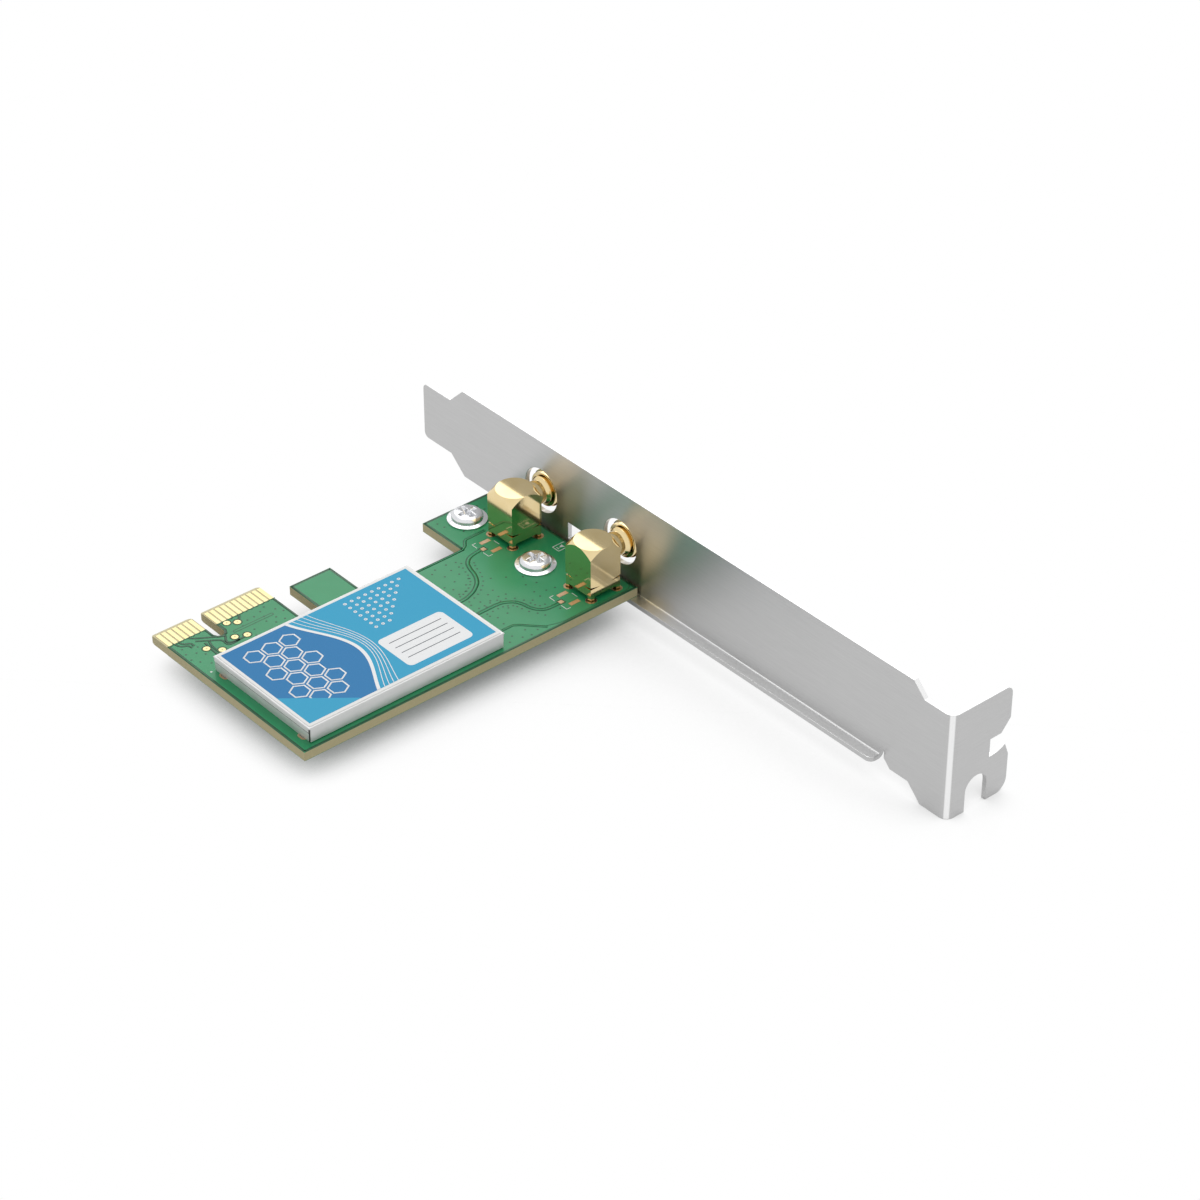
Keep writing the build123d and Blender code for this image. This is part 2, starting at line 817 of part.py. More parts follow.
def jack_core(jack_x, radius, mouth_y, low_z, hollow_radius):
    """An elbow from the barrel's mouth to the block's centre and down, with a channel in it."""
    with BuildPart() as core:
        with BuildSketch(Plane.XZ.offset(-mouth_y)):
            with Locations((jack_x, axis_z)):
                Circle(radius)
        extrude(amount=mouth_y - jack_y)
        with BuildSketch(Plane.XY.offset(low_z)):
            with Locations((jack_x, jack_y)):
                Circle(radius)
        extrude(amount=axis_z - low_z)
        with Locations((jack_x, jack_y, axis_z)):
            Sphere(radius)
        if hollow_radius:
            with BuildSketch(Plane.XZ.offset(-mouth_y)):
                with Locations((jack_x, axis_z)):
                    Circle(hollow_radius)
            extrude(amount=mouth_y - jack_y, mode=Mode.SUBTRACT)
            with BuildSketch(Plane.XY.offset(low_z)):
                with Locations((jack_x, jack_y)):
                    Circle(hollow_radius)
            extrude(amount=axis_z - low_z, mode=Mode.SUBTRACT)
            with Locations((jack_x, jack_y, axis_z)):
                Sphere(hollow_radius, mode=Mode.SUBTRACT)
    return core.part


dielectric_end = face_y + thread_end - mouth_depth

for number, jack_x in enumerate(jack_xs, start=1):
    insulator = jack_core(
        jack_x,
        dielectric_radius,
        dielectric_end,
        board_top + jack_standoff,
        contact_radius + core_fit,
    )
    contact = jack_core(
        jack_x,
        contact_radius,
        dielectric_end + contact_stand,
        board_under - leg_below,
        None,
    )
    finish(jack_body(jack_x), f"antenna_jack_{number}_body")
    finish(insulator, f"antenna_jack_{number}_insulator")
    finish(contact, f"antenna_jack_{number}_contact")

# Solder cones round the jacks' legs and centre contacts, under the board
with BuildPart() as jack_solder:
    cone_base = land_radius() - ring_land + solder_spread
    for jack_x in jack_xs:
        with Locations(*[(x, y, core_under - pad_thickness) for x, y in jack_leg_places(jack_x)]):
            Cone(
                leg_side / 2**0.5 + solder_tip,
                cone_base,
                solder_height,
                align=(Align.CENTER, Align.CENTER, Align.MAX),
            )
        with Locations((jack_x, jack_y, core_under - pad_thickness)):
            Cone(
                contact_radius + solder_tip,
                cone_base,
                solder_height,
                align=(Align.CENTER, Align.CENTER, Align.MAX),
            )
    with BuildSketch(Plane.XY.offset(core_under - pad_thickness)):
        for jack_x in jack_xs:
            with Locations(*jack_leg_places(jack_x)):
                Rectangle(leg_side, leg_side)
            with Locations((jack_x, jack_y)):
                Circle(contact_radius)
    extrude(amount=-solder_height, mode=Mode.SUBTRACT)

finish(jack_solder.part, "jack_solder")

# Parts sealed under the can, each standing on the board
seat = board_top + under_play


def flat_package(place, side, thickness, name):
    """A moulded square chip with a bevelled upper edge."""
    with BuildPart() as package:
        with BuildSketch(Plane.XY.offset(seat)):
            with Locations(under_can(place)):
                Rectangle(side, side)
        extrude(amount=thickness)
        chamfer(package.faces().sort_by(Axis.Z)[-1].edges(), chip_bevel)
    finish(package.part, name)


flat_package(chip_place, chip_side, chip_thickness, "wifi_chip")
flat_package(regulator_place, small_chip, small_chip_thickness, "voltage_regulator")

with BuildPart() as rf_front_ends:
    with BuildSketch(Plane.XY.offset(seat)):
        with Locations(*[under_can(place) for place in front_end_places]):
            Rectangle(small_chip, small_chip)
    extrude(amount=small_chip_thickness)

finish(rf_front_ends.part, "rf_front_ends")

# Crystal: a ceramic tray under a seam-welded lid with rounded corners
with BuildPart() as reference_crystal:
    with BuildSketch(Plane.XY.offset(seat)):
        with Locations(under_can(crystal_place)):
            RectangleRounded(crystal_width, crystal_length, radius=crystal_round)
    extrude(amount=crystal_height - crystal_lid)
    with BuildSketch(Plane.XY.offset(seat + crystal_height)):
        with Locations(under_can(crystal_place)):
            RectangleRounded(
                crystal_width - 2 * crystal_lid_inset,
                crystal_length - 2 * crystal_lid_inset,
                radius=crystal_round,
            )
    extrude(amount=-crystal_lid)

finish(reference_crystal.part, "reference_crystal")

# Memory: a moulded body on four gull-wing leads a side
with BuildPart() as config_memory:
    memory_x, memory_y = under_can(memory_place)
    with BuildSketch(Plane.XY.offset(seat + memory_lead / 2)):
        with Locations((memory_x, memory_y)):
            Rectangle(memory_width, memory_length)
    extrude(amount=memory_height)
    chamfer(config_memory.faces().sort_by(Axis.Z)[-1].edges(), chip_bevel)
    for side in (-1, 1):
        foot_tip = memory_x + side * memory_row / 2
        knee = memory_x + side * (memory_row / 2 - lead_foot)
        wall = memory_x + side * (memory_width / 2 - lead_metal)
        lead_exit = seat + memory_height / 2
        for row in range(memory_leads):
            lead_y = memory_y + (row - (memory_leads - 1) / 2) * memory_pitch
            with BuildSketch(Plane.XZ.offset(-lead_y)):
                with BuildLine():
                    Polyline(
                        (foot_tip, seat),
                        (foot_tip, seat + lead_metal),
                        (knee + side * lead_metal, seat + lead_metal),
                        (knee + side * lead_metal, lead_exit + lead_metal),
                        (wall, lead_exit + lead_metal),
                        (wall, lead_exit),
                        (knee, lead_exit),
                        (knee, seat),
                        close=True,
                    )
                make_face()
            extrude(amount=memory_lead / 2, both=True)

finish(config_memory.part, "config_memory")

# Inductor: a ferrite drum, its waist open between two square flanges
with BuildPart() as power_inductor:
    for low in (seat, seat + coil_height - coil_flange):
        with BuildSketch(Plane.XY.offset(low)):
            with Locations(under_can(coil_place)):
                RectangleRounded(coil_side, coil_side, radius=coil_round)
        extrude(amount=coil_flange)
    with BuildSketch(Plane.XY.offset(seat + coil_flange)):
        with Locations(under_can(coil_place)):
            Circle(coil_core_radius)
    extrude(amount=coil_height - 2 * coil_flange)

finish(power_inductor.part, "power_inductor")

# Chip passives in rows
with BuildPart() as ceramic_capacitors:
    with BuildSketch(Plane.XY.offset(seat)):
        with Locations(under_can(signal_caps_place)):
            with GridLocations(cap_pitch_x, cap_pitch_y, signal_cap_columns, 2):
                Rectangle(cap_width, cap_length)
        with Locations(under_can(supply_caps_place)):
            with GridLocations(cap_pitch_x, cap_pitch_y, supply_cap_columns, 2):
                Rectangle(cap_width, cap_length)
    extrude(amount=cap_height)

finish(ceramic_capacitors.part, "ceramic_capacitors")

with BuildPart() as chip_resistors:
    with BuildSketch(Plane.XY.offset(seat)):
        with Locations(under_can(resistors_place)):
            with GridLocations(resistor_pitch_x, resistor_pitch_y, 3, 3):
                Rectangle(cap_width, cap_length)
    extrude(amount=resistor_height)

finish(chip_resistors.part, "chip_resistors")
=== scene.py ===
import math

import bmesh
import bpy
from mathutils import Matrix, Vector


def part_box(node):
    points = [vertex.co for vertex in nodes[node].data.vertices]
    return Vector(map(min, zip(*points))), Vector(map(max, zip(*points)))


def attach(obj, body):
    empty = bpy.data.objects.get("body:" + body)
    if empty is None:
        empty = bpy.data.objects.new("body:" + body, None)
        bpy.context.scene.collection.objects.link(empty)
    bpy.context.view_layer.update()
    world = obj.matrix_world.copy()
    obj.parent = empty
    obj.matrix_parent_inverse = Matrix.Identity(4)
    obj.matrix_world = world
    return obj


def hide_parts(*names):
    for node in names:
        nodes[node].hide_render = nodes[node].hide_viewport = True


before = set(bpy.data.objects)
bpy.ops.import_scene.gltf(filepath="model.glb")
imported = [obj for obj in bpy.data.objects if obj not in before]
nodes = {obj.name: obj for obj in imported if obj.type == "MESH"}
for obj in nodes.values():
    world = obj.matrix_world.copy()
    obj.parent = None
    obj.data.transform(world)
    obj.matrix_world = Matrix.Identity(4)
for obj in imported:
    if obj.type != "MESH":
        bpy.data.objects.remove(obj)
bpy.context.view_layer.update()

MM = 0.001

# Sizes in mm that this script shares with the part's source
wing_length, wing_width = 9.8, 14.2
hook_from_wing, hook_width, hook_reach = 18.7, 7.85, 9.55
key_from_far, key_width, key_depth = 8.15, 1.9, 7.4
tongue_from_key = 11.9  # from the key's middle line to the tongue's near side
mask_from_tongue = 4.45  # bare end of the tongue, for the contacts
contact_from_key = 1.5
near_contacts, far_contacts = 11, 7
board_to_bracket = 0.4
jack_from_wing, jack_pitch, jack_from_face = 12.05, 19.0, 5.5
jack_axis_height = 6.1
thread_radius = 3.175
thread_start, thread_end = 1.2, 6.0  # from the bracket's inner face
jack_thread_pitch, jack_thread_depth = 25.4 / 36, 0.4
screw_from_wing, screw_pitch, screw_from_face = 3.67, 17.0, 8.43
screw_radius, screw_length, screw_tip = 1.45, 4.6, 0.48
screw_thread_pitch, screw_thread_depth = 0.5, 0.25
foot_strip = 4.0  # the end of the bracket that holds the foot and its fold
ink_thickness = 0.012

# Heights and places in mm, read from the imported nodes
board_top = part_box("solder_mask_top")[1].z / MM
board_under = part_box("solder_mask_bottom")[0].z / MM
pads_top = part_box("test_pads")[1].z / MM
mask_low, mask_high = (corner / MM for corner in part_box("solder_mask_top"))
board_low, board_high = (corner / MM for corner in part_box("circuit_board"))
label_low, label_high = (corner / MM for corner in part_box("shield_label"))
lid_low, lid_high = (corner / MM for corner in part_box("shield_cover"))
label_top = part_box("shield_label")[1].z / MM
wing_x, front_x = mask_low.x, mask_high.x
far_y, near_y = board_low.y, board_high.y
tongue_x = board_low.x
back_x = wing_x + wing_length
wing_y = near_y - wing_width
hook_near_y = wing_y - hook_from_wing
hook_far_y = hook_near_y - hook_width
hook_x = back_x - hook_reach
key_y = far_y + key_from_far
key_end_x = tongue_x + key_depth
tongue_near_y = key_y + tongue_from_key
mask_edge_x = tongue_x + mask_from_tongue
face_y = near_y + board_to_bracket
jack_xs = [wing_x + jack_from_wing, wing_x + jack_from_wing + jack_pitch]
jack_y = face_y - jack_from_face
thread_start_y = face_y + thread_start
thread_end_y = face_y + thread_end
axis_z = board_top + jack_axis_height
screw_xs = [wing_x + screw_from_wing, wing_x + screw_from_wing + screw_pitch]
screw_y = face_y - screw_from_face
screw_thread_end = board_top - screw_length + screw_tip
foot_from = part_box("bracket")[1].x / MM - foot_strip
can_x = (label_low.x + label_high.x) / 2
can_y = (label_low.y + label_high.y) / 2


def linear(hex_colour):
    """An sRGB hex colour as the linear RGBA that shaders take."""
    channels = [int(hex_colour[i:i + 2], 16) / 255 for i in (1, 3, 5)]
    return tuple(
        c / 12.92 if c <= 0.04045 else ((c + 0.055) / 1.055) ** 2.4 for c in channels
    ) + (1.0,)


def add(tree, kind, settings=None, links=None):
    """Adds a node, sets its properties and its unlinked sockets, and links the others."""
    node = tree.nodes.new(kind)
    for name, value in (settings or {}).items():
        if isinstance(name, int) or name in node.inputs:
            node.inputs[name].default_value = value
        else:
            setattr(node, name, value)
    for name, source in (links or {}).items():
        tree.links.new(source, node.inputs[name])
    return node


def new_material(name):
    """An empty node material, as (material, tree)."""
    material = bpy.data.materials.new(name)
    material.use_nodes = True
    material.node_tree.nodes.clear()
    return material, material.node_tree


def end_material(tree, settings, links):
    """Ends a material with its surface and its output."""
    surface = add(tree, "ShaderNodeBsdfPrincipled", settings, links)
    add(tree, "ShaderNodeOutputMaterial", {}, {"Surface": surface.outputs["BSDF"]})


def grain(tree, spacing_mm, detail=2.0, roughness=0.5):
    """Noise on Object coordinates whose bumps are spacing_mm apart along X, Y and Z."""
    place = add(tree, "ShaderNodeTexCoord")
    scaled = add(
        tree,
        "ShaderNodeMapping",
        {"Scale": [1 / (MM * spacing) for spacing in spacing_mm]},
        {"Vector": place.outputs["Object"]},
    )
    noise = add(
        tree,
        "ShaderNodeTexNoise",
        {"Scale": 1.0, "Detail": detail, "Roughness": roughness},
        {"Vector": scaled.outputs["Vector"]},
    )
    return noise.outputs["Fac"]


def two_tone(tree, source, low, high, low_place=0.0, high_place=1.0):
    """A colour ramp that turns a value from 0 to 1 into a blend of two colours."""
    ramp = add(tree, "ShaderNodeValToRGB", {}, {"Fac": source})
    first, last = ramp.color_ramp.elements
    first.position, first.color = low_place, linear(low)
    last.position, last.color = high_place, linear(high)
    return ramp


def relief(tree, height, strength, depth_mm):
    """The surface normal with a relief of depth_mm in it."""
    bump = add(
        tree,
        "ShaderNodeBump",
        {"Strength": strength, "Distance": depth_mm * MM},
        {"Height": height},
    )
    return bump.outputs["Normal"]


def calculate(tree, operation, first, second=None):
    """A Math node's result, from one or two sockets."""
    sources = {0: first} if second is None else {0: first, 1: second}
    return add(tree, "ShaderNodeMath", {"operation": operation}, sources).outputs["Value"]


def ramped(tree, source, span, to=(0.0, 1.0)):
    """A value stretched from a span to another and held at its ends."""
    stretch = add(
        tree,
        "ShaderNodeMapRange",
        {"From Min": span[0], "From Max": span[1], "To Min": to[0], "To Max": to[1]},
        {"Value": source},
    )
    return stretch.outputs["Result"]


def overlaid(tree, factor, colour, plain):
    """A colour with a plain one laid over it by a factor."""
    mix = add(
        tree,
        "ShaderNodeMix",
        {"data_type": "RGBA", 7: linear(plain)},
        {0: factor, 6: colour},
    )
    return mix.outputs[2]


def painted_fold_and_top_highlights(tree):
    """How much a point of the bracket takes a painted highlight, from 0 to 1: a painted highlight
    halfway round each fold, and a paler painted highlight on edges and faces that look upward."""
    place = add(tree, "ShaderNodeTexCoord")
    facing = add(tree, "ShaderNodeSeparateXYZ", {}, {"Vector": place.outputs["Normal"]})
    along = add(tree, "ShaderNodeSeparateXYZ", {}, {"Vector": place.outputs["Object"]})
    foot = {"operation": "GREATER_THAN", 1: foot_from * MM}
    slant = add(tree, "ShaderNodeMath", foot, {0: along.outputs["X"]}).outputs["Value"]
    # Products of the normal's parts peak halfway round a fold, where the painted highlight goes:
    # on the foot's only beyond foot_from, and a little less on the flange's, for a thinner line
    for first, second, share, operation in (
        ("X", "Y", 1.0, "MULTIPLY"),
        ("Y", "Z", 0.93, "MAXIMUM"),
        ("X", "Z", 1.0, "MAXIMUM"),
    ):
        turn = calculate(tree, "MULTIPLY", facing.outputs[first], facing.outputs[second])
        size = calculate(tree, "ABSOLUTE", turn)
        scale = {"operation": "MULTIPLY", 1: share}
        part = add(tree, "ShaderNodeMath", scale, {0: size}).outputs["Value"]
        slant = calculate(tree, operation, slant, part)
    # Painted highlight along the folds, and a paler one on faces that look upward
    painted_fold_highlight = ramped(tree, slant, (0.4, 0.46))
    painted_top_highlight = ramped(tree, facing.outputs["Z"], (0.3, 0.5), (0.0, 0.6))
    return calculate(tree, "MAXIMUM", painted_fold_highlight, painted_top_highlight)


def plated_steel():
    """Zinc-plated cold-rolled sheet: satin grey with painted highlights on its folds and upward
    faces, its rolled grain along the sheet's length, so that reflections smear upright across it."""
    material, tree = new_material("zinc_plated_steel")
    rolled = grain(tree, (5.0, 5.0, 0.12), detail=3.0)
    cloud = grain(tree, (14.0, 14.0, 14.0))
    tint = two_tone(tree, rolled, "#BEBEBE", "#C4C4C4", 0.3, 0.7)
    across = add(tree, "ShaderNodeCombineXYZ", {"Y": 0.1, "Z": 1.0})
    end_material(
        tree,
        {"Metallic": 1.0, "Anisotropic": 0.85},
        {
            # Painted highlight: #F4F4F4 laid over the grey on the folds and on upward faces
            "Base Color": overlaid(tree, painted_fold_and_top_highlights(tree), tint.outputs["Color"], "#F4F4F4"),
            "Roughness": ramped(tree, cloud, (0.0, 1.0), (0.31, 0.36)),
            "Normal": relief(tree, rolled, 0.03, 0.01),
            "Tangent": across.outputs["Vector"],
        },
    )
    return material


def laminate():
    """Glass-epoxy laminate, routed: tan resin with the plies' thin lines along every edge,
    the dust-matt finish that the cutter leaves and a paler skin of resin on top."""
    material, tree = new_material("glass_epoxy_laminate")
    place = add(tree, "ShaderNodeTexCoord")
    ply_mm = 0.2
    wave_period = 0.314  # a wave texture's period is this over its scale
    plies = add(
        tree,
        "ShaderNodeTexWave",
        {
            "bands_direction": "Z",
            "Scale": wave_period / (ply_mm * MM),
            "Distortion": 1.2,
            "Detail": 2.0,
        },
        {"Vector": place.outputs["Object"]},
    )
    fuzz = grain(tree, (0.5, 0.5, 0.12), detail=3.0)
    both = add(
        tree, "ShaderNodeMix", {"Factor": 0.6}, {2: plies.outputs["Fac"], 3: fuzz}
    ).outputs[0]
    tint = two_tone(tree, both, "#9B9165", "#C5BB93")
    facing = add(tree, "ShaderNodeSeparateXYZ", {}, {"Vector": place.outputs["Normal"]})
    flat = ramped(tree, facing.outputs["Z"], (0.2, 0.6))
    end_material(
        tree,
        {"Roughness": 0.6, "IOR": 1.55},
        {
            "Base Color": overlaid(tree, flat, tint.outputs["Color"], "#D0C69C"),
            "Normal": relief(tree, both, 0.2, 0.02),
        },
    )
    return material


def solder_mask(name, light, dark):
    """Photo-imaged solder mask: a glossy green epoxy film that lets the copper or the bare
    laminate under it show as a lighter or darker green, and dips with the glass weave."""
    material, tree = new_material(name)
    cloud = grain(tree, (7.0, 7.0, 7.0))
    weave = grain(tree, (0.45, 0.45, 0.45), detail=1.0)
    tint = two_tone(tree, cloud, dark, light, 0.3, 0.7)
    end_material(
        tree,
        {"Roughness": 0.3, "IOR": 1.45},
        {"Base Color": tint.outputs["Color"], "Normal": relief(tree, weave, 0.06, 0.02)},
    )
    return material


def polished_metal(name, colour, worn, roughness, mark_mm, mark_strength=0.05, metallic=1.0):
    """A plated metal skin: its colour, clouded a little by handling, and the fine marks that
    its making left, mark_mm apart along X, Y and Z."""
    material, tree = new_material(name)
    marks = grain(tree, mark_mm, detail=3.0)
    cloud = grain(tree, (3.0, 3.0, 3.0), detail=3.0)
    tint = two_tone(tree, cloud, worn, colour, 0.25, 0.6)
    end_material(
        tree,
        {"Metallic": metallic},
        {
            "Base Color": tint.outputs["Color"],
            "Roughness": ramped(tree, cloud, (0.0, 1.0), (roughness * 0.8, roughness * 1.25)),
            "Normal": relief(tree, marks, mark_strength, 0.02),
        },
    )
    return material


def dull_solid(name, colour, speck, roughness, grain_mm, ior=1.5, gloss=0.0, specular=0.5):
    """A non-metal with a fine grain in its colour and its surface."""
    material, tree = new_material(name)
    fine = grain(tree, grain_mm, detail=3.0)
    tint = two_tone(tree, fine, speck, colour, 0.35, 0.65)
    end_material(
        tree,
        {
            "Roughness": roughness,
            "IOR": ior,
            "Specular IOR Level": specular,
            "Coat Weight": gloss,
            "Coat Roughness": 0.15,
        },
        {"Base Color": tint.outputs["Color"], "Normal": relief(tree, fine, 0.2, 0.01)},
    )
    return material


bracket_steel = plated_steel()
board_laminate = laminate()
mask_over_copper = solder_mask("green_mask_over_copper", "#249862", "#1F8F59")
mask_over_laminate = solder_mask("green_mask_over_laminate", "#145C38", "#0F4F2F")
# Hard gold over nickel: pale, with wiping marks along the way the card slides in
contact_gold = polished_metal("hard_gold_on_nickel", "#D8CC9D", "#CFC18E", 0.45, (3.0, 0.05, 0.5))
# Immersion gold over etched copper: thin, so the copper warms it
pad_gold = polished_metal("flash_gold_on_copper", "#C8AB8B", "#AE8C6B", 0.34, (0.2, 0.2, 0.2))
# Tin-plated nickel silver, drawn: near white, soft sheen, faint rolling lines
can_tin = polished_metal("tin_plated_nickel_silver", "#DEDEDE", "#D7D7D7", 0.5, (0.3, 5.0, 0.3),
                         metallic=0.55)
# Gold plate over turned brass: mirror-bright with very fine tool marks
jack_gold = polished_metal("gold_plated_brass", "#E9D4A3", "#E3CC97", 0.09, (0.6, 0.6, 0.08), 0.02)
# Trivalent zinc over cold-headed steel: bright, cool and mirror-like
screw_zinc = polished_metal("bright_zinc_screw", "#E4E5E7", "#D6D7DA", 0.24, (0.4, 0.4, 0.4))
# Wave-soldered joint: bright, with a slightly grainy frost
solder_alloy = polished_metal("bright_solder", "#C4C5C8", "#AFB0B4", 0.26, (0.15, 0.15, 0.15), 0.2)
crystal_lid = polished_metal("nickel_plated_lid", "#CFC9B8", "#BFB8A4", 0.28, (0.2, 2.0, 0.2))
# Coated label stock, offset printed: the inks keep the paper's slight tooth under a varnish
paper_tooth = (0.15, 0.15, 0.15)
label_paper = dull_solid("coated_label_paper", "#F4F4F2", "#EDEDEB", 0.5, paper_tooth)
ink_blue = dull_solid("deep_blue_ink", "#2F82BC", "#2B7CB5", 0.5, paper_tooth, specular=0.2)
ink_cyan = dull_solid("cyan_ink", "#3AABD3", "#35A5CE", 0.5, paper_tooth, specular=0.2)
ink_white = dull_solid("white_ink", "#F6F7F8", "#EFF1F2", 0.5, paper_tooth)
ink_grey = dull_solid("grey_ink", "#5A6066", "#525860", 0.5, paper_tooth, specular=0.2)
# Screen-printed epoxy legend: flat white with slightly rough edges and surface
legend_ink = dull_solid("white_legend_ink", "#E9ECE8", "#DCE0DB", 0.55, (0.08, 0.08, 0.08))
# Skived fluoropolymer: waxy white
ptfe = dull_solid("white_ptfe", "#EFEFEA", "#E6E6E0", 0.42, (0.3, 0.3, 0.3), ior=1.35)
# Transfer-moulded epoxy: near black with a fine spark-eroded texture
chip_epoxy = dull_solid("black_moulding_compound", "#262626", "#1C1C1C", 0.55, (0.06, 0.06, 0.06))
ferrite = dull_solid("sintered_ferrite", "#3A3A3C", "#2C2C2E", 0.6, (0.1, 0.1, 0.1))
capacitor_ceramic = dull_solid("fired_capacitor_ceramic", "#A98A63", "#97794F", 0.35,
                               (0.1, 0.1, 0.1))
resistor_glaze = dull_solid("glazed_resistor_ceramic", "#1B1D22", "#26282E", 0.25,
                            (0.1, 0.1, 0.1), gloss=0.4)

finish_of = {
    "bracket": bracket_steel,
    "circuit_board": board_laminate,
    "solder_mask_top": mask_over_copper,
    "solder_mask_bottom": mask_over_copper,
    "edge_contacts_top": contact_gold,
    "edge_contacts_bottom": contact_gold,
    "test_pads": contact_gold,
    "jack_lands": pad_gold,
    "filter_lands_1": pad_gold,
    "filter_lands_2": pad_gold,
    "shield_lands": pad_gold,
    "shield_frame": can_tin,
    "shield_cover": can_tin,
    "shield_label": label_paper,
    "board_screws": screw_zinc,
    "antenna_jack_1_body": jack_gold,
    "antenna_jack_2_body": jack_gold,
    "antenna_jack_1_contact": jack_gold,
    "antenna_jack_2_contact": jack_gold,
    "antenna_jack_1_insulator": ptfe,
    "antenna_jack_2_insulator": ptfe,
    "jack_solder": solder_alloy,
    "wifi_chip": chip_epoxy,
    "voltage_regulator": chip_epoxy,
    "rf_front_ends": chip_epoxy,
    "config_memory": chip_epoxy,
    "reference_crystal": crystal_lid,
    "power_inductor": ferrite,
    "ceramic_capacitors": capacitor_ceramic,
    "chip_resistors": resistor_glaze,
}

for name, material in finish_of.items():
    nodes[name].data.materials.clear()
    nodes[name].data.materials.append(material)


def settle(piece):
    """Puts a finished piece on the card's one body."""
    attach(piece, "root")
    return piece


def piece_from(name, mesh, material):
    """An object at the origin from a mesh whose places are already in it."""
    mesh.materials.clear()
    mesh.materials.append(material)
    piece = bpy.data.objects.new(name, mesh)
    bpy.context.scene.collection.objects.link(piece)
    return piece


def sharpen(mesh, degrees):
    """Smooth shading, broken at edges that turn more than this."""
    mesh.shade_smooth()
    mesh.set_sharp_from_angle(angle=math.radians(degrees))


def merged_copy(node):
    """A node's mesh with its loose triangles joined and its flat faces made whole."""
    shape = bmesh.new()
    shape.from_mesh(nodes[node].data)
    bmesh.ops.remove_doubles(shape, verts=shape.verts, dist=0.002 * MM)
    bmesh.ops.dissolve_limit(
        shape, angle_limit=math.radians(0.6), verts=shape.verts, edges=shape.edges
    )
    return shape


def settled_mesh(piece, modifier):
    """Makes a modifier's result the piece's own plain mesh and takes the modifier off."""
    graph = bpy.context.evaluated_depsgraph_get()
    finished = bpy.data.meshes.new_from_object(piece.evaluated_get(graph), depsgraph=graph)
    piece.modifiers.remove(modifier)
    piece.data = finished


def broken_edges(name, shape, material, width_mm, angle=32):
    """A piece from a merged shape, its sharp edges broken by a small chamfer."""
    mesh = bpy.data.meshes.new(name)
    shape.to_mesh(mesh)
    shape.free()
    mesh.shade_smooth()
    piece = piece_from(name, mesh, material)
    bevel = piece.modifiers.new("broken_edges", "BEVEL")
    bevel.limit_method = "ANGLE"
    bevel.angle_limit = math.radians(angle)
    bevel.width = width_mm * MM
    bevel.segments = 2
    bevel.use_clamp_overlap = True
    settled_mesh(piece, bevel)
    sharpen(piece.data, 25)
    flats = piece.modifiers.new("flat_faces", "WEIGHTED_NORMAL")
    flats.keep_sharp = True
    settled_mesh(piece, flats)
    piece.data.name = name
    return piece


def thread_skin(shape, place, length, major, pitch, depth):
    """Adds the skin of a V-thread along place's Z axis, its grid following the helix."""
    around = 48
    rows_per_turn = 6
    rows = math.ceil(length / pitch * rows_per_turn)
    profile = [0.0, 0.15, 0.6, 1.0, 0.6, 0.15]
    grid = {}
    for row in range(-rows_per_turn, rows + 1):
        for step in range(around):
            angle = 2 * math.pi * step / around
            along = pitch * (row / rows_per_turn + step / around)
            inside = 0 < along < length
            run_out = min(along, length - along) / pitch if inside else 0.0
            radius = major - depth * profile[row % rows_per_turn] * min(1.0, 2 * run_out)
            point = (radius * math.cos(angle), radius * math.sin(angle),
                     min(max(along, 0.0), length))
            grid[row, step] = shape.verts.new(place @ Vector(point) * MM)
    skin = []
    for row in range(-rows_per_turn, rows):
        for step in range(around):
            last = step == around - 1
            across, lift = (0, rows_per_turn) if last else (step + 1, 0)
            corners = [
                (row, step),
                (row + lift, across),
                (row + lift + 1, across),
                (row + 1, step),
            ]
            if all(corner in grid for corner in corners):
                skin.append(shape.faces.new([grid[corner] for corner in corners]))
    bmesh.ops.remove_doubles(shape, verts=list(grid.values()), dist=0.001 * MM)
    return skin


def bare_wall(shape, centre, radius, upright):
    """Deletes the faces of a round wall about an upright or a Y axis, for a thread to replace."""
    wall = []
    for face in shape.faces:
        reach = [
            math.hypot(vert.co.x / MM - centre[0], vert.co[1 if upright else 2] / MM - centre[1])
            for vert in face.verts
        ]
        on_wall = all(abs(r - radius) < 0.02 for r in reach)
        if on_wall and abs(face.normal.z if upright else face.normal.y) < 0.1:
            wall.append(face)
    bmesh.ops.delete(shape, geom=wall, context="FACES")


def thread_piece(name, place, length, major, pitch, depth, material):
    """A separate skin with the helix of a thread."""
    skin = bmesh.new()
    thread_skin(skin, place, length, major, pitch, depth)
    mesh = bpy.data.meshes.new(name)
    skin.to_mesh(mesh)
    skin.free()
    sharpen(mesh, 40)
    return settle(piece_from(name, mesh, material))


def jack(number):
    """An antenna jack with its plating, broken edges and the thread of its barrel."""
    node = f"antenna_jack_{number}_body"
    jack_x = jack_xs[number - 1]
    shape = merged_copy(node)
    bare_wall(shape, (jack_x, axis_z), thread_radius, False)
    piece = broken_edges(f"{node}_plated", shape, jack_gold, 0.06)
    place = Matrix.Translation((jack_x, thread_start_y, axis_z)) @ Matrix.Rotation(
        -math.pi / 2, 4, "X"
    )
    thread_piece(
        f"antenna_jack_{number}_thread",
        place,
        thread_end_y - thread_start_y,
        thread_radius,
        jack_thread_pitch,
        jack_thread_depth,
        jack_gold,
    )
    settle(piece)
    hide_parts(node)


for number in (1, 2):
    jack(number)

bracket_piece = broken_edges("bracket_plated", merged_copy("bracket"), bracket_steel, 0.08)
settle(bracket_piece)
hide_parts("bracket")

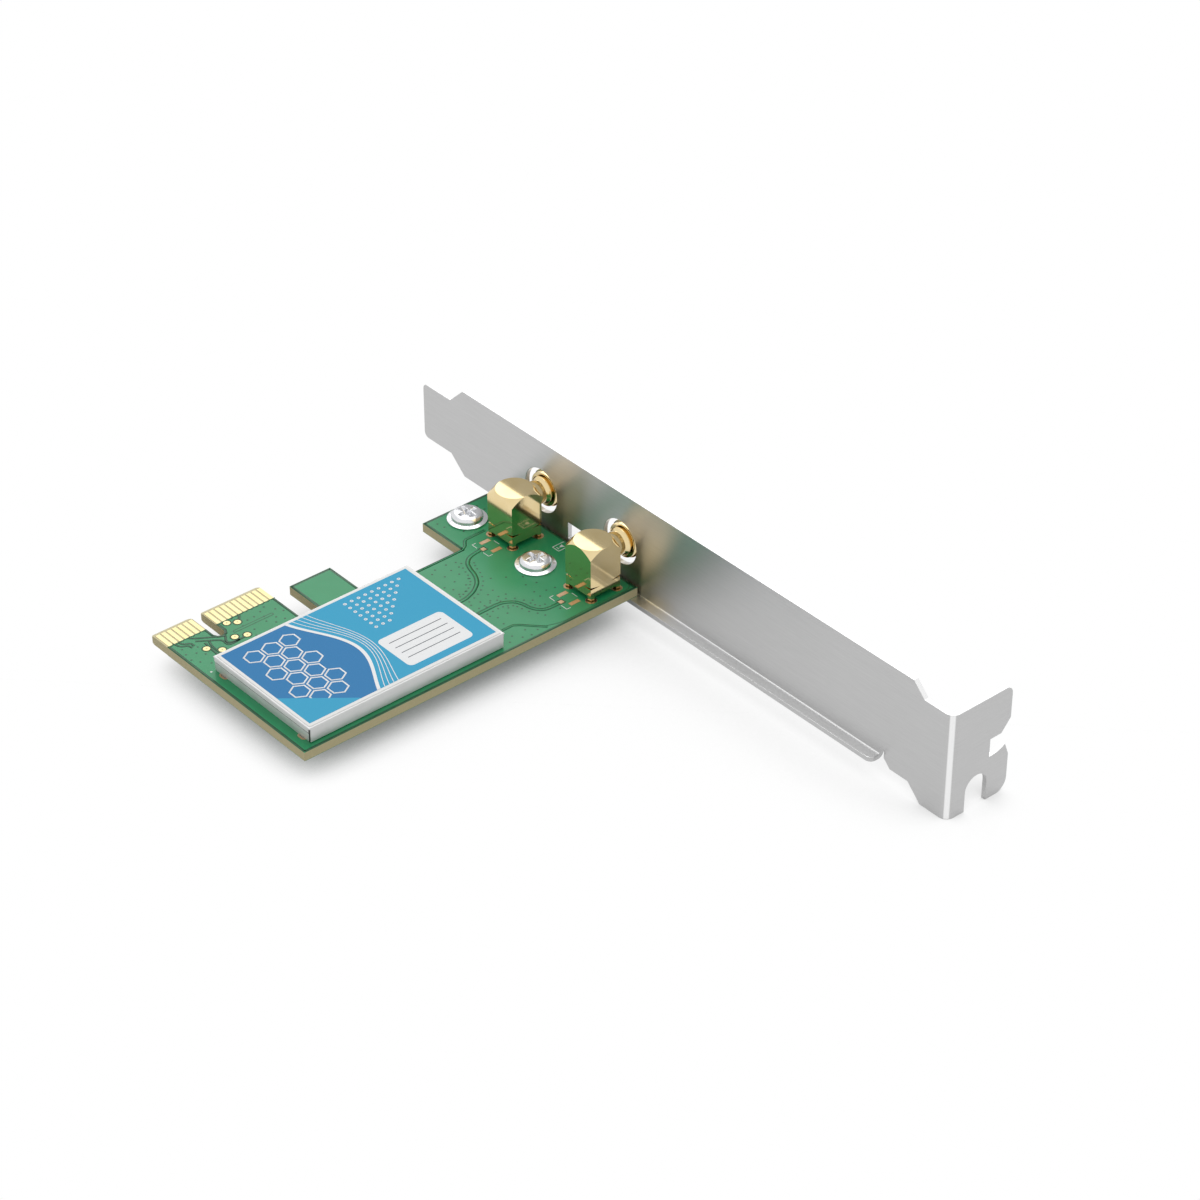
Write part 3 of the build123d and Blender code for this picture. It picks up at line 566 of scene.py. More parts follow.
screw_shape = merged_copy("board_screws")
for screw_x in screw_xs:
    bare_wall(screw_shape, (screw_x, screw_y), screw_radius, True)
screws = broken_edges("board_screws_plated", screw_shape, screw_zinc, 0.05, 40)
settle(screws)
for number, screw_x in enumerate(screw_xs, start=1):
    thread_piece(
        f"board_screw_{number}_thread",
        Matrix.Translation((screw_x, screw_y, screw_thread_end)),
        board_top - screw_thread_end,
        screw_radius,
        screw_thread_pitch,
        screw_thread_depth,
        screw_zinc,
    )
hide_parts("board_screws")


# Trees of Geometry Nodes, each ending in Realize Instances and Set Material


def new_tree(name, inputs):
    """A geometry tree with the given inputs, as (tree, its input node)."""
    tree = bpy.data.node_groups.new(name, "GeometryNodeTree")
    tree.interface.new_socket("Geometry", in_out="INPUT", socket_type="NodeSocketGeometry")
    for label, kind in inputs:
        tree.interface.new_socket(label, in_out="INPUT", socket_type=kind)
    tree.interface.new_socket("Geometry", in_out="OUTPUT", socket_type="NodeSocketGeometry")
    return tree, add(tree, "NodeGroupInput")


def close_tree(tree, source, material):
    """Ends a tree: real geometry, its material and the output."""
    real = add(tree, "GeometryNodeRealizeInstances", {}, {"Geometry": source})
    painted = add(
        tree,
        "GeometryNodeSetMaterial",
        {},
        {"Geometry": real.outputs["Geometry"], "Material": material},
    )
    add(tree, "NodeGroupOutput", {}, {"Geometry": painted.outputs["Geometry"]})


def level_path(tree, given):
    """The seed's polylines as curves, their corners rounded and their normals level."""
    path = add(tree, "GeometryNodeMeshToCurve", {}, {"Mesh": given.outputs["Geometry"]})
    rounded = add(
        tree,
        "GeometryNodeFilletCurve",
        {"mode": "POLY", "Count": 6, "Limit Radius": True},
        {"Curve": path.outputs["Curve"], "Radius": given.outputs["Corner"]},
    )
    return add(
        tree, "GeometryNodeSetCurveNormal", {"mode": "Z_UP"}, {"Curve": rounded.outputs["Curve"]}
    )


def flat_section(tree, given):
    """A rectangle of the tree's Width and Height, to sweep along a curve."""
    return add(
        tree,
        "GeometryNodeCurvePrimitiveQuadrilateral",
        {},
        {"Width": given.outputs["Width"], "Height": given.outputs["Height"]},
    )


def line_tree():
    """Follows polylines with a flat bar, their corners rounded."""
    tree, given = new_tree(
        "board_line",
        [
            ("Width", "NodeSocketFloat"),
            ("Height", "NodeSocketFloat"),
            ("Corner", "NodeSocketFloat"),
            ("Finish", "NodeSocketMaterial"),
        ],
    )
    level = level_path(tree, given)
    section = flat_section(tree, given)
    bar = add(
        tree,
        "GeometryNodeCurveToMesh",
        {"Fill Caps": True},
        {"Curve": level.outputs["Curve"], "Profile Curve": section.outputs["Curve"]},
    )
    close_tree(tree, bar.outputs["Mesh"], given.outputs["Finish"])
    return tree


def spots_on(tree, given, places):
    """Sets flat ten-sided spots of the tree's Radius and Height on points."""
    spot = add(
        tree,
        "GeometryNodeMeshCylinder",
        {"Vertices": 10},
        {"Radius": given.outputs["Radius"], "Depth": given.outputs["Height"]},
    )
    return add(
        tree,
        "GeometryNodeInstanceOnPoints",
        {},
        {"Points": places, "Instance": spot.outputs["Mesh"]},
    )


def scatter_tree():
    """Scatters spots evenly over flat patches."""
    spots_per_square_metre = 2e6  # at most, before Spacing thins them
    tree, given = new_tree(
        "scattered_vias",
        [
            ("Spacing", "NodeSocketFloat"),
            ("Radius", "NodeSocketFloat"),
            ("Height", "NodeSocketFloat"),
            ("Seed", "NodeSocketInt"),
            ("Finish", "NodeSocketMaterial"),
        ],
    )
    points = add(
        tree,
        "GeometryNodeDistributePointsOnFaces",
        {"distribute_method": "POISSON", "Density Max": spots_per_square_metre},
        {
            "Mesh": given.outputs["Geometry"],
            "Distance Min": given.outputs["Spacing"],
            "Seed": given.outputs["Seed"],
        },
    )
    spots = spots_on(tree, given, points.outputs["Points"])
    close_tree(tree, spots.outputs["Instances"], given.outputs["Finish"])
    return tree


def row_tree():
    """Sets spots in even rows a fixed way off polylines with rounded corners."""
    tree, given = new_tree(
        "via_rows",
        [
            ("Step", "NodeSocketFloat"),
            ("Offset", "NodeSocketFloat"),
            ("Corner", "NodeSocketFloat"),
            ("Radius", "NodeSocketFloat"),
            ("Height", "NodeSocketFloat"),
            ("Finish", "NodeSocketMaterial"),
        ],
    )
    level = level_path(tree, given)
    marks = add(
        tree,
        "GeometryNodeCurveToPoints",
        {"mode": "LENGTH"},
        {"Curve": level.outputs["Curve"], "Length": given.outputs["Step"]},
    )
    aside = add(
        tree,
        "ShaderNodeVectorMath",
        {"operation": "SCALE"},
        {0: marks.outputs["Normal"], "Scale": given.outputs["Offset"]},
    )
    moved = add(
        tree,
        "GeometryNodeSetPosition",
        {},
        {"Geometry": marks.outputs["Points"], "Offset": aside.outputs["Vector"]},
    )
    spots = spots_on(tree, given, moved.outputs["Geometry"])
    close_tree(tree, spots.outputs["Instances"], given.outputs["Finish"])
    return tree


def ring_tree():
    """Sets flat rings on points."""
    tree, given = new_tree(
        "pad_rings",
        [
            ("Radius", "NodeSocketFloat"),
            ("Width", "NodeSocketFloat"),
            ("Height", "NodeSocketFloat"),
            ("Sides", "NodeSocketInt"),
            ("Finish", "NodeSocketMaterial"),
        ],
    )
    circle = add(
        tree,
        "GeometryNodeCurvePrimitiveCircle",
        {},
        {"Resolution": given.outputs["Sides"], "Radius": given.outputs["Radius"]},
    )
    section = flat_section(tree, given)
    level = add(
        tree, "GeometryNodeSetCurveNormal", {"mode": "Z_UP"}, {"Curve": circle.outputs["Curve"]}
    )
    ring = add(
        tree,
        "GeometryNodeCurveToMesh",
        {},
        {"Curve": level.outputs["Curve"], "Profile Curve": section.outputs["Curve"]},
    )
    rings = add(
        tree,
        "GeometryNodeInstanceOnPoints",
        {},
        {"Points": given.outputs["Geometry"], "Instance": ring.outputs["Mesh"]},
    )
    close_tree(tree, rings.outputs["Instances"], given.outputs["Finish"])
    return tree


board_line = line_tree()
scattered_vias = scatter_tree()
via_rows = row_tree()
pad_rings = ring_tree()


def grow(name, seed, tree, inputs, material):
    """Runs a tree on a seed mesh and keeps the result as a plain piece."""
    holder = bpy.data.objects.new(f"{name}_seed", seed)
    bpy.context.scene.collection.objects.link(holder)
    modifier = holder.modifiers.new(tree.name, "NODES")
    modifier.node_group = tree
    for socket in tree.interface.items_tree:
        if socket.in_out == "INPUT" and socket.name in inputs:
            modifier[socket.identifier] = inputs[socket.name]
        if socket.in_out == "INPUT" and socket.name == "Finish":
            modifier[socket.identifier] = material
    graph = bpy.context.evaluated_depsgraph_get()
    mesh = bpy.data.meshes.new_from_object(holder.evaluated_get(graph), depsgraph=graph)
    holder.modifiers.remove(modifier)
    bpy.data.objects.remove(holder)
    mesh.name = name
    return settle(piece_from(name, mesh, material))


def polylines(name, paths, height, closed=False):
    """A mesh of edges only: one run through the points of each path, at one height."""
    verts, edges = [], []
    for path in paths:
        first = len(verts)
        verts += [(x * MM, y * MM, height * MM) for x, y in path]
        edges += [(first + i, first + i + 1) for i in range(len(path) - 1)]
        if closed:
            edges.append((len(verts) - 1, first))
    mesh = bpy.data.meshes.new(name)
    mesh.from_pydata(verts, edges, [])
    return mesh


def patches(name, outlines, height):
    """A mesh of flat faces at one height, to scatter spots on."""
    verts, faces = [], []
    for outline in outlines:
        faces.append(range(len(verts), len(verts) + len(outline)))
        verts += [(x * MM, y * MM, height * MM) for x, y in outline]
    mesh = bpy.data.meshes.new(name)
    mesh.from_pydata(verts, [], faces)
    return mesh


def loose_points(name, places, height):
    """A mesh of points alone, at one height."""
    mesh = bpy.data.meshes.new(name)
    mesh.from_pydata([(x * MM, y * MM, height * MM) for x, y in places], [], [])
    return mesh


def plates(name, outlines, low, high, material):
    """Closed flat plates between two heights, one for each outline."""
    shape = bmesh.new()
    for outline in outlines:
        lower = [shape.verts.new((x * MM, y * MM, low * MM)) for x, y in outline]
        upper = [shape.verts.new((x * MM, y * MM, high * MM)) for x, y in outline]
        shape.faces.new(upper)
        shape.faces.new(list(reversed(lower)))
        for i in range(len(outline)):
            j = (i + 1) % len(outline)
            shape.faces.new([lower[i], lower[j], upper[j], upper[i]])
    bmesh.ops.recalc_face_normals(shape, faces=shape.faces)
    mesh = bpy.data.meshes.new(name)
    shape.to_mesh(mesh)
    shape.free()
    return settle(piece_from(name, mesh, material))


# Copper seen through the mask: where it stops, the green is darker
line_height = 0.004
line_mid = board_top + line_height / 2
crossing_lift = 0.0015  # keeps the tops of lines that cross apart
feed_1 = [(-30.82, 13.9), (-30.4, 11.5), (-29.3, 10.1), (-27.8, 9.4), (-26.1, 8.9), (-24.3, 7.9),
          (-22.9, 6.2), (-22.2, 4.6), (-21.9, 3.3), (-21.9, 0.4)]
feed_2 = [(-11.6, 13.9), (-11.7, 11.7), (-12.4, 10.5), (-13.7, 9.8), (-15.2, 9.5), (-16.4, 8.9),
          (-17.3, 7.6), (-17.6, 6.3), (-17.6, 4.6), (-17.6, 0.4)]
wing_gap = [(-34.7, 18.0), (-34.6, 13.8), (-33.3, 12.8), (-32.7, 11.8), (-32.6, 9.2), (-32.6, 0.4)]
front_gap = [(-11.8, 0.4), (-11.75, 4.8), (-11.0, 5.8), (-8.0, 8.6)]
shore_line = [(-8.3, 8.8), (-7.55, 11.4), (-7.65, 16.8), (-7.65, 20.9), (-7.6, 24.1), (-8.2, 25.3),
              (-9.0, 25.5)]
bus_lines = [
    [(-41.5, -34.9), (-40.5, -33.9), (-38.5, -30.7), (-38.3, -30.0)],
    [(-40.0, -34.5), (-38.8, -32.8), (-37.6, -31.3), (-36.3, -31.2), (-35.9, -30.6),
     (-36.0, -29.0)],
    [(-38.1, -30.2), (-37.1, -30.8), (-36.4, -30.7), (-36.1, -29.4), (-36.1, -28.0)],
    [(-41.8, -37.4), (-40.4, -37.0), (-39.7, -36.0), (-38.9, -35.8)],
    [(-41.7, -36.7), (-40.6, -36.3), (-40.0, -35.4), (-39.1, -35.3)],
    [(-38.6, -32.9), (-36.9, -33.3), (-33.0, -33.3)],
    [(-38.7, -33.6), (-36.6, -33.8), (-33.0, -34.0)],
    [(-41.6, -26.4), (-41.2, -27.0)],
    [(-41.4, -25.3), (-40.4, -26.0)],
]


def smooth(path, steps=6):
    """The path with points added along a curve through its own points."""
    ends = [path[0], *path, path[-1]]
    points = []
    for i in range(1, len(ends) - 2):
        a, b, c, d = (Vector(point) for point in ends[i - 1:i + 3])
        for step in range(steps):
            t = step / steps
            points.append(tuple(
                0.5 * (2 * b + (c - a) * t + (2 * a - 5 * b + 4 * c - d) * t * t
                       + (3 * b - a - 3 * c + d) * t ** 3)
            ))
    return [*points, path[-1]]


def rounded_panel(back, front, left, right, radius, steps=6):
    """Outline of a rectangle with round corners."""
    centres = [
        (front - radius, right - radius, 0),
        (back + radius, right - radius, 1),
        (back + radius, left + radius, 2),
        (front - radius, left + radius, 3),
    ]
    return [
        (
            x + radius * math.cos(math.pi / 2 * (quarter + i / steps)),
            y + radius * math.sin(math.pi / 2 * (quarter + i / steps)),
        )
        for x, y, quarter in centres
        for i in range(steps + 1)
    ]


def board_lines(name, paths, height, width_mm, corner_mm=0.0, material=None, closed=False):
    """Flat lines on the board: mask over bare laminate, or the material that is given."""
    return grow(
        name,
        polylines(f"{name}_paths", paths, height, closed),
        board_line,
        {"Width": width_mm * MM, "Height": line_height * MM, "Corner": corner_mm * MM},
        material or mask_over_laminate,
    )


feeds = [smooth(feed_1), smooth(feed_2)]
key_half = key_width / 2
edge_inset = 0.23
round_back, round_side = 0.1, 0.75  # a corner on each side of the key's round end
edge_line = [
    (front_x - edge_inset, far_y + edge_inset),
    (front_x - edge_inset, near_y - edge_inset),
    (wing_x + edge_inset, near_y - edge_inset),
    (wing_x + edge_inset, wing_y + edge_inset),
    (back_x + edge_inset, wing_y + edge_inset),
    (back_x + edge_inset, hook_near_y - edge_inset),
    (hook_x + edge_inset, hook_near_y - edge_inset),
    (hook_x + edge_inset, hook_far_y + edge_inset),
    (back_x + edge_inset, hook_far_y + edge_inset),
    (back_x + edge_inset, tongue_near_y - edge_inset),
    (mask_edge_x, tongue_near_y - edge_inset),
]
key_line = [
    (mask_edge_x, key_y + key_half + edge_inset),
    (key_end_x - key_half, key_y + key_half + edge_inset),
    (key_end_x - round_back, key_y + round_side),
    (key_end_x + edge_inset, key_y),
    (key_end_x - round_back, key_y - round_side),
    (key_end_x - key_half, key_y - key_half - edge_inset),
    (mask_edge_x, key_y - key_half - edge_inset),
]
far_line = [(mask_edge_x, far_y + edge_inset), (front_x - edge_inset, far_y + edge_inset)]
margins = [edge_line, key_line, far_line]
board_lines("bare_margins", margins, line_mid, 2 * edge_inset, 0.05)
board_lines("feed_line_gaps", feeds, line_mid, 0.76)
board_lines("feed_lines", feeds, line_mid + line_height, 0.4, material=mask_over_copper)
pours = [wing_gap, front_gap]
board_lines("pour_gaps", pours, line_mid, 0.55, 0.8)
board_lines("pour_islands", pours, line_mid + line_height, 0.22, 0.8, mask_over_copper)
board_lines("thin_gaps", [smooth(shore_line)], line_mid, 0.14)
board_lines(
    "bus_line_gaps", [smooth(line) for line in bus_lines], line_mid + crossing_lift, 0.42
)

# The mask's edge at the contacts steps round each finger's end
contact_xs = mask_edge_x + 0.04, mask_edge_x + 0.26
contact_ys = [
    [key_y + contact_from_key + i for i in range(near_contacts)],
    [key_y - contact_from_key - i for i in range(far_contacts)],
]
scallops = [
    [(contact_xs[0], row[0] - step / 2)]
    + [(x, y + shift) for y in row for x, shift in zip(contact_xs[::-1], (0, step / 2))]
    for row, step in zip(contact_ys, (1, -1))
]
board_lines("scalloped_mask_edge", scallops, line_mid + 2 * crossing_lift, 0.2, 0.1)

# Probe pads, placed from the key's open end: a bare moat round each and a dimple in it
probe_places = [
    (tongue_x + dx, key_y + dy)
    for dx, dy in ((5.2, 2.4), (6.05, 3.8), (8.95, 1.2), (9.7, 3.0), (8.65, -3.85), (10.4, -2.2))
]
grow(
    "probe_pad_moats",
    loose_points("probe_points", probe_places, line_mid),
    pad_rings,
    {"Radius": 0.7 * MM, "Width": 0.2 * MM, "Height": line_height * MM, "Sides": 24},
    mask_over_laminate,
)
grow(
    "probe_pad_dimples",
    loose_points("probe_dimple_points", probe_places, pads_top),
    pad_rings,
    {"Radius": 0.09 * MM, "Width": 0.1 * MM, "Height": line_height * MM, "Sides": 12},
    pad_gold,
)

# The open loop on the tongue: a bare slot round an island of copper
loop_slot = rounded_panel(-38.55, -37.88, -28.67, -21.09, 0.33)
loop_island = rounded_panel(-38.4, -38.03, -28.52, -21.24, 0.18)
slot_top = board_top + line_height
plates("loop_slot", [loop_slot], board_top, slot_top, mask_over_laminate)
plates("loop_island", [loop_island], slot_top, board_top + 2 * line_height, mask_over_copper)

# A bare frame round each small pad where a feed starts
frame_half = 0.53
node_frames = [
    [(x - 0.15 + dx * frame_half, jack_y - 6.35 + dy * frame_half)
     for dx, dy in ((-1, -1), (1, -1), (1, 1), (-1, 1))]
    for x in jack_xs
]
board_lines("node_pad_moats", node_frames, line_mid + crossing_lift, 0.16, 0.1, closed=True)

# Vias, tented by the mask: a dimple and a darker spot
via_radius, via_height = 0.18, 0.01
via_mid = 0.004  # from the mask's face to the middle of a via's height
via_inputs = {"Radius": via_radius * MM, "Height": via_height * MM}
via_fields = [
    [(-31.2, 0.4), (-31.2, 9.6), (-23.6, 7.2), (-23.0, 0.4)],
    [(-21.0, 0.4), (-21.0, 9.6), (-13.2, 9.0), (-12.8, 0.4)],
    [(-16.5, 10.8), (-20.0, 13.4), (-14.0, 13.8), (-12.6, 11.9)],
    [(-41.0, 12.6), (-41.0, 24.9), (-36.0, 24.9), (-36.0, 14.0)],
    [(-10.4, 1.0), (-10.4, 5.2), (-7.6, 8.0), (-7.6, 1.0)],
    [(-41.0, -25.4), (-41.0, -18.9), (-33.2, -18.9), (-33.2, -28.0), (-37.2, -28.0)],
    [(-40.4, -38.1), (-40.4, -35.2), (-33.0, -34.0), (-33.0, -38.1)],
]
grow(
    "scattered_vias",
    patches("via_fields", via_fields, board_top + via_mid),
    scattered_vias,
    {"Spacing": 1.25 * MM, "Seed": 7, **via_inputs},
    mask_over_laminate,
)
placed_vias = [(-23.7, 10.2), (-22.4, 12.2), (-20.8, 14.3), (-18.2, 14.9), (-15.3, 16.2),
               (-15.6, 14.7), (-10.5, 13.2), (-10.6, 10.3)]
via_outlines = [
    rounded_panel(x - via_radius, x + via_radius, y - via_radius, y + via_radius, via_radius, 3)
    for x, y in placed_vias
]
plates("placed_vias", via_outlines, board_top, board_top + 0.009, mask_over_laminate)
bare_start = 12  # points of a feed that have no vias beside them
for side in (-1, 1):
    grow(
        f"feed_vias_{'left' if side < 0 else 'right'}",
        polylines("feed_sides", [feed[bare_start:] for feed in feeds], board_top + via_mid),
        via_rows,
        {"Step": 1.05 * MM, "Offset": side * 1.0 * MM, "Corner": 0.0, **via_inputs},
        mask_over_laminate,
    )

# Underside: its own bare margins, bus lines from the contacts and vias
under_mid = board_under - line_height / 2
board_lines("bare_margins_below", margins, under_mid, 2 * edge_inset, 0.05)
bus_below = [
    [(mask_edge_x, y), (mask_edge_x + 1.2, y), (mask_edge_x + 4.0, y * 0.8 - 4.4),
     (-26.0, y * 0.8 - 4.4), (-24.8, y * 0.8 - 3.6)]
    for y in contact_ys[0][1:-1]
]
board_lines("bus_lines_below", bus_below, under_mid, 0.22, 0.8)
fields_below = [
    [(-31.5, -37.4), (-31.5, -27.5), (-8.2, -27.5), (-8.2, -37.4)],
    [(-23.5, -25.0), (-23.5, 12.0), (-8.2, 12.0), (-8.2, -25.0)],
]
grow(
    "scattered_vias_below",
    patches("via_fields_below", fields_below, board_under - via_mid),
    scattered_vias,
    {"Spacing": 1.9 * MM, "Seed": 11, **via_inputs},
    mask_over_laminate,
)

# Legend: corner marks round the filter pads, and the patch beside the window
legend_paths = []
for jack_x in jack_xs:
    left, right = jack_x - 2.2, jack_x + 1.95
    low, high = jack_y - 6.97, jack_y - 3.56
    legend_paths += [
        [(left, low + 0.8), (left, low), (left + 1.25, low)],
        [(right - 1.35, low), (right, low), (right, low + 0.8)],
        [(left + 1.3, high), (left + 2.65, high)],
    ]
# The indicator's place behind the window: a frame and a wedge
frame_x, frame_y, frame_side = -23.3, 24.1, 0.75
legend_paths += [
    [(frame_x - frame_side, frame_y + 1.4), (frame_x - frame_side, frame_y - 1.05),
     (frame_x + frame_side, frame_y - 1.05), (frame_x + frame_side, frame_y + 1.4)],
    [(frame_x - 0.3, frame_y - 0.6), (frame_x + 0.35, frame_y - 0.6)],
]
wedge = [
    (frame_x - 0.4, frame_y + 0.5),
    (frame_x, frame_y - 0.35),
    (frame_x + 0.4, frame_y + 0.5),
]
spot_mark = rounded_panel(-32.2, -31.82, -37.4, -37.02, 0.19)
plates("legend_wedge", [wedge, spot_mark], board_top, board_top + line_height, legend_ink)
grow(
    "legend_lines",
    polylines("legend", legend_paths, line_mid),
    board_line,
    {"Width": 0.13 * MM, "Height": line_height * MM, "Corner": 0.01 * MM},
    legend_ink,
)

# Painted shade: a dark plate for the shade in the open seam where the lid's folded skirts meet
seam_x, seam_y = lid_high.x - 0.05, lid_low.y + 0.05
seam_half, seam_short = 0.12, 0.3
seam = [
    (seam_x - seam_half, seam_y),
    (seam_x, seam_y - seam_half),
    (seam_x + seam_half, seam_y),
    (seam_x, seam_y + seam_half),
]
plates("can_corner_seam_painted_shade", [seam], board_top + seam_short, lid_high.z - seam_short, chip_epoxy)

# Painted shade: dark strips for the shade in the gap under the lid's short skirts, over the fence
short_skirt, gap_height = 0.85, 0.29
gap_inset, gap_short, gap_half = 0.2, 0.4, 0.04
gap_z = lid_high.z - short_skirt
for side, y in (("far", lid_low.y + gap_inset), ("near", lid_high.y - gap_inset)):
    strip = [
        (lid_low.x + gap_short, y - gap_half),
        (lid_high.x - gap_short, y - gap_half),
        (lid_high.x - gap_short, y + gap_half),
        (lid_low.x + gap_short, y + gap_half),
    ]
    plates(f"lid_gap_painted_shade_{side}", [strip], gap_z - gap_height, gap_z, chip_epoxy)

# Label print, placed in mm from the can's middle: fields of colour, a honeycomb, a blank
# panel and ruled lines
ink_1, ink_2, ink_3 = (label_top + i * ink_thickness for i in (1, 2, 3))
ink_ridge = 0.02  # height of a printed line
white_border, cut_border = 0.5, 0.6
field_back, field_front = label_low.x + white_border, label_high.x - cut_border
field_left, field_right = label_low.y + white_border, label_high.y - cut_border
wave_start, wave_swing, wave_count = can_y - 3.0, 2.6, 40


def wave_edge(start_y, swing):
    """Points of a slow wave across the label from its back edge to its front edge."""
    span = field_front - field_back
    return [
        (
            field_back + span * i / wave_count,
            start_y + swing * math.sin(math.pi * (1.5 * i / wave_count - 0.3)),
        )
        for i in range(wave_count + 1)
    ]


blue_field = [
    (field_back, field_left),
    (field_front, field_left),
    (field_front, field_right),
    (field_back, field_right),
]
plates("label_blue_field", [blue_field], label_top, ink_1, ink_blue)
cyan_edge = wave_edge(wave_start, wave_swing)
cyan_field = cyan_edge + [(field_front, field_right), (field_back, field_right)]
plates("label_cyan_field", [cyan_field], ink_1, ink_2, ink_cyan)
swoosh = wave_edge(can_y - 3.6, wave_swing) + list(reversed(wave_edge(wave_start, wave_swing)))
ripples = [wave_edge(can_y - 2.2 + 0.7 * i, wave_swing - 0.25 * i) for i in range(4)]
panel = rounded_panel(can_x + 1.2, can_x + 9.6, can_y + 2.2, can_y + 14.6, 0.9)
plates("label_white_panel", [swoosh, panel], ink_2, ink_3, ink_white)


def printed_lines(name, paths, height, width_mm, ink):
    """Printed lines on the label."""
    return grow(
        name,
        polylines(f"{name}_paths", paths, height),
        board_line,
        {"Width": width_mm * MM, "Height": ink_ridge * MM, "Corner": 0.0},
        ink,
    )


def printed_rings(name, places, height, radius_mm, width_mm, sides):
    """White printed rings on the label."""
    return grow(
        name,
        loose_points(f"{name}_points", places, height),
        pad_rings,
        {
            "Radius": radius_mm * MM,
            "Width": width_mm * MM,
            "Height": ink_ridge * MM,
            "Sides": sides,
        },
        ink_white,
    )


line_pitch = 1.55
rule_rows = [can_x + 2.9 + i * line_pitch for i in range(4)]
rules = [[(x, can_y + 3.4), (x, can_y + 13.4)] for x in rule_rows]
printed_lines("label_panel_rules", rules, ink_3, 0.14, ink_grey)
printed_lines("label_ripples", ripples, ink_2, 0.13, ink_white)
dot_pitch, dot_rows, longest_row = 1.3, 7, 9
dots = [
    (can_x - 9.6 + dot_pitch * row, can_y + 4.6 + dot_pitch * column)
    for row in range(dot_rows)
    for column in range(longest_row - row)
]
printed_rings("label_dots", dots, ink_2, 0.2, 0.2, 16)
accent = [
    (field_front, field_left),
    (field_front, can_y - 8.0),
    (can_x + 3.0, field_left),
]
plates("label_accent", [accent], ink_1, ink_2, ink_cyan)
cell, cell_line = 1.9, 0.3  # a honeycomb cell's side and its line's width
cells = [
    (
        can_x - 7.6 + row * cell * 1.5,
        can_y - 14.0 + (column + 0.5 * (row % 2)) * cell * math.sqrt(3),
    )
    for row in range(6)
    for column in range(3 if row % 2 == 0 else 2)
]
printed_rings("label_honeycomb", cells, ink_1, cell - cell_line, cell_line, 6)

# Studio: a pale floor that shows white and keeps the shadow, partly lit and partly painted shadow,
# soft light from above and behind


def seen_rays(tree):
    """1 for what is seen directly, mirrored or through glass, and 0 for the light on things."""
    ray = add(tree, "ShaderNodeLightPath")
    seen = ray.outputs["Is Camera Ray"]
    for kind in ("Is Glossy Ray", "Is Transmission Ray"):
        seen = calculate(tree, "MAXIMUM", seen, ray.outputs[kind])
    return seen


floor_material, tree = new_material("pale_floor")
open_sky = add(tree, "ShaderNodeAmbientOcclusion", {"samples": 12, "Distance": 0.06})
clear = ramped(tree, open_sky.outputs["AO"], (0.2, 0.75), (0.75, 1.0))
lift = calculate(tree, "MULTIPLY", seen_rays(tree), clear)
# Painted shadow: white where the sky is open, grey under and beside the card, from the ambient
# occlusion
painted_shadow = two_tone(tree, open_sky.outputs["AO"], "#6A6A6A", "#FFFFFF", 0.1, 0.75)
for position, tone in ((0.32, "#CCCCCC"), (0.55, "#EFEFEF")):
    painted_shadow.color_ramp.elements.new(position).color = linear(tone)
matt = add(tree, "ShaderNodeBsdfDiffuse", {"Color": linear("#FFFFFF")})
painted_shadow_glow = add(tree, "ShaderNodeEmission", {"Strength": 1.0}, {"Color": painted_shadow.outputs["Color"]})
mixed = add(
    tree,
    "ShaderNodeMixShader",
    {},
    {0: lift, 1: matt.outputs["BSDF"], 2: painted_shadow_glow.outputs["Emission"]},
)
# Seen from below, the floor lets the view through to the card's underside
side_seen = add(tree, "ShaderNodeNewGeometry")
see_through = add(tree, "ShaderNodeBsdfTransparent")
one_way = add(
    tree,
    "ShaderNodeMixShader",
    {},
    {
        0: side_seen.outputs["Backfacing"],
        1: mixed.outputs["Shader"],
        2: see_through.outputs["BSDF"],
    },
)
add(tree, "ShaderNodeOutputMaterial", {}, {"Surface": one_way.outputs["Shader"]})

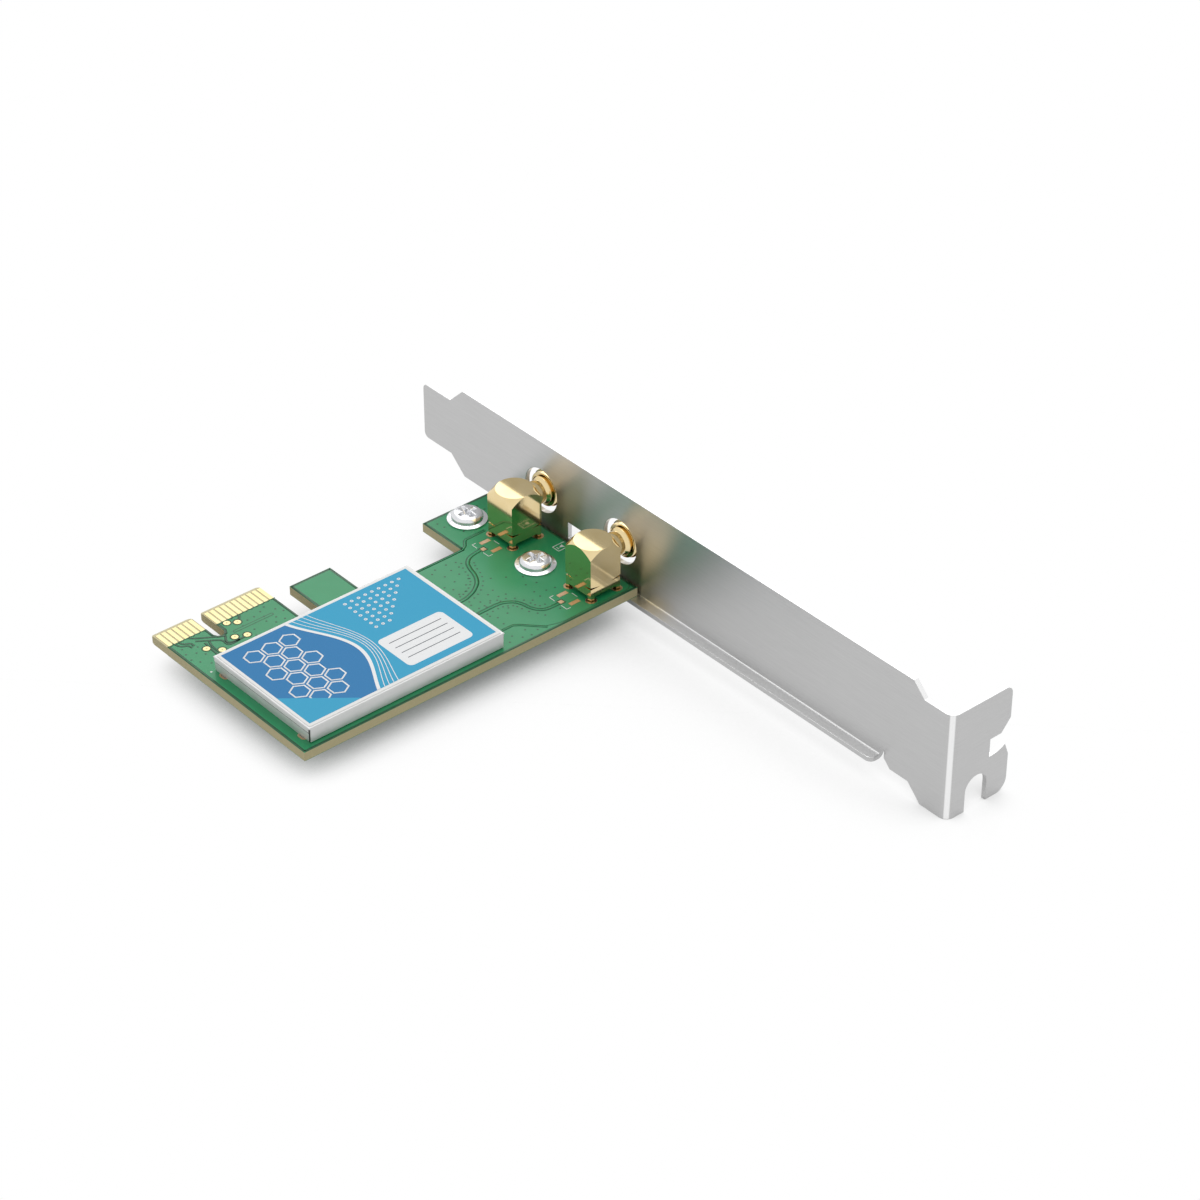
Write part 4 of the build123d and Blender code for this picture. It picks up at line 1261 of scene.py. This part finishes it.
reach = 6.0  # metres from the middle of the floor to its sides
floor_corners = [(-reach, -reach, 0), (reach, -reach, 0), (reach, reach, 0), (-reach, reach, 0)]
floor_mesh = bpy.data.meshes.new("floor")
floor_mesh.from_pydata(floor_corners, [], [(0, 1, 2, 3)])
floor = piece_from("floor", floor_mesh, floor_material)

# White sky where it is seen, dimmer as a light
world = bpy.data.worlds.new("studio")
bpy.context.scene.world = world
world.use_nodes = True
sky_tree = world.node_tree
sky_tree.nodes.clear()
sky_level = ramped(sky_tree, seen_rays(sky_tree), (0.0, 1.0), (0.55, 1.0))
sky = add(
    sky_tree, "ShaderNodeBackground", {"Color": linear("#FFFFFF")}, {"Strength": sky_level}
)
add(sky_tree, "ShaderNodeOutputWorld", {}, {"Surface": sky.outputs["Background"]})


def softbox(name, place, target, width, height, power):
    """A rectangular area light that faces a point."""
    data = bpy.data.lights.new(name, "AREA")
    data.shape = "RECTANGLE"
    data.size = width
    data.size_y = height
    data.energy = power
    lamp = bpy.data.objects.new(name, data)
    lamp.location = place
    aim = Vector(target) - Vector(place)
    lamp.rotation_euler = aim.to_track_quat("-Z", "Y").to_euler()
    bpy.context.scene.collection.objects.link(lamp)
    return lamp


softbox("overhead_softbox", (-0.25, 0.2, 0.7), (0, 0, 0), 0.6, 0.6, 2.0)
softbox("back_softbox", (-0.55, 0.47, 0.42), (0, 0, 0), 0.8, 0.3, 0.85)

# Camera at the photograph's angle, solved from the card's straight edges, in a square frame
yaw = math.radians(49.3122)
pitch = math.radians(35.1647)
camera_place = Vector((336.36, -276.93, 325.98)) * MM
right = Vector((math.cos(yaw), math.sin(yaw), 0))
back = Vector((math.sin(yaw) * math.cos(pitch), -math.cos(yaw) * math.cos(pitch), math.sin(pitch)))
up = back.cross(right)
camera_data = bpy.data.cameras.new("camera")
camera_data.sensor_width = 36.0
camera_data.lens = 107.94
camera_data.clip_start = 0.01
camera = bpy.data.objects.new("camera", camera_data)
turn = Matrix((right, up, back)).transposed()
camera.matrix_world = Matrix.Translation(camera_place) @ turn.to_4x4()
bpy.context.scene.collection.objects.link(camera)
bpy.context.scene.camera = camera
bpy.context.scene.view_settings.view_transform = "Standard"
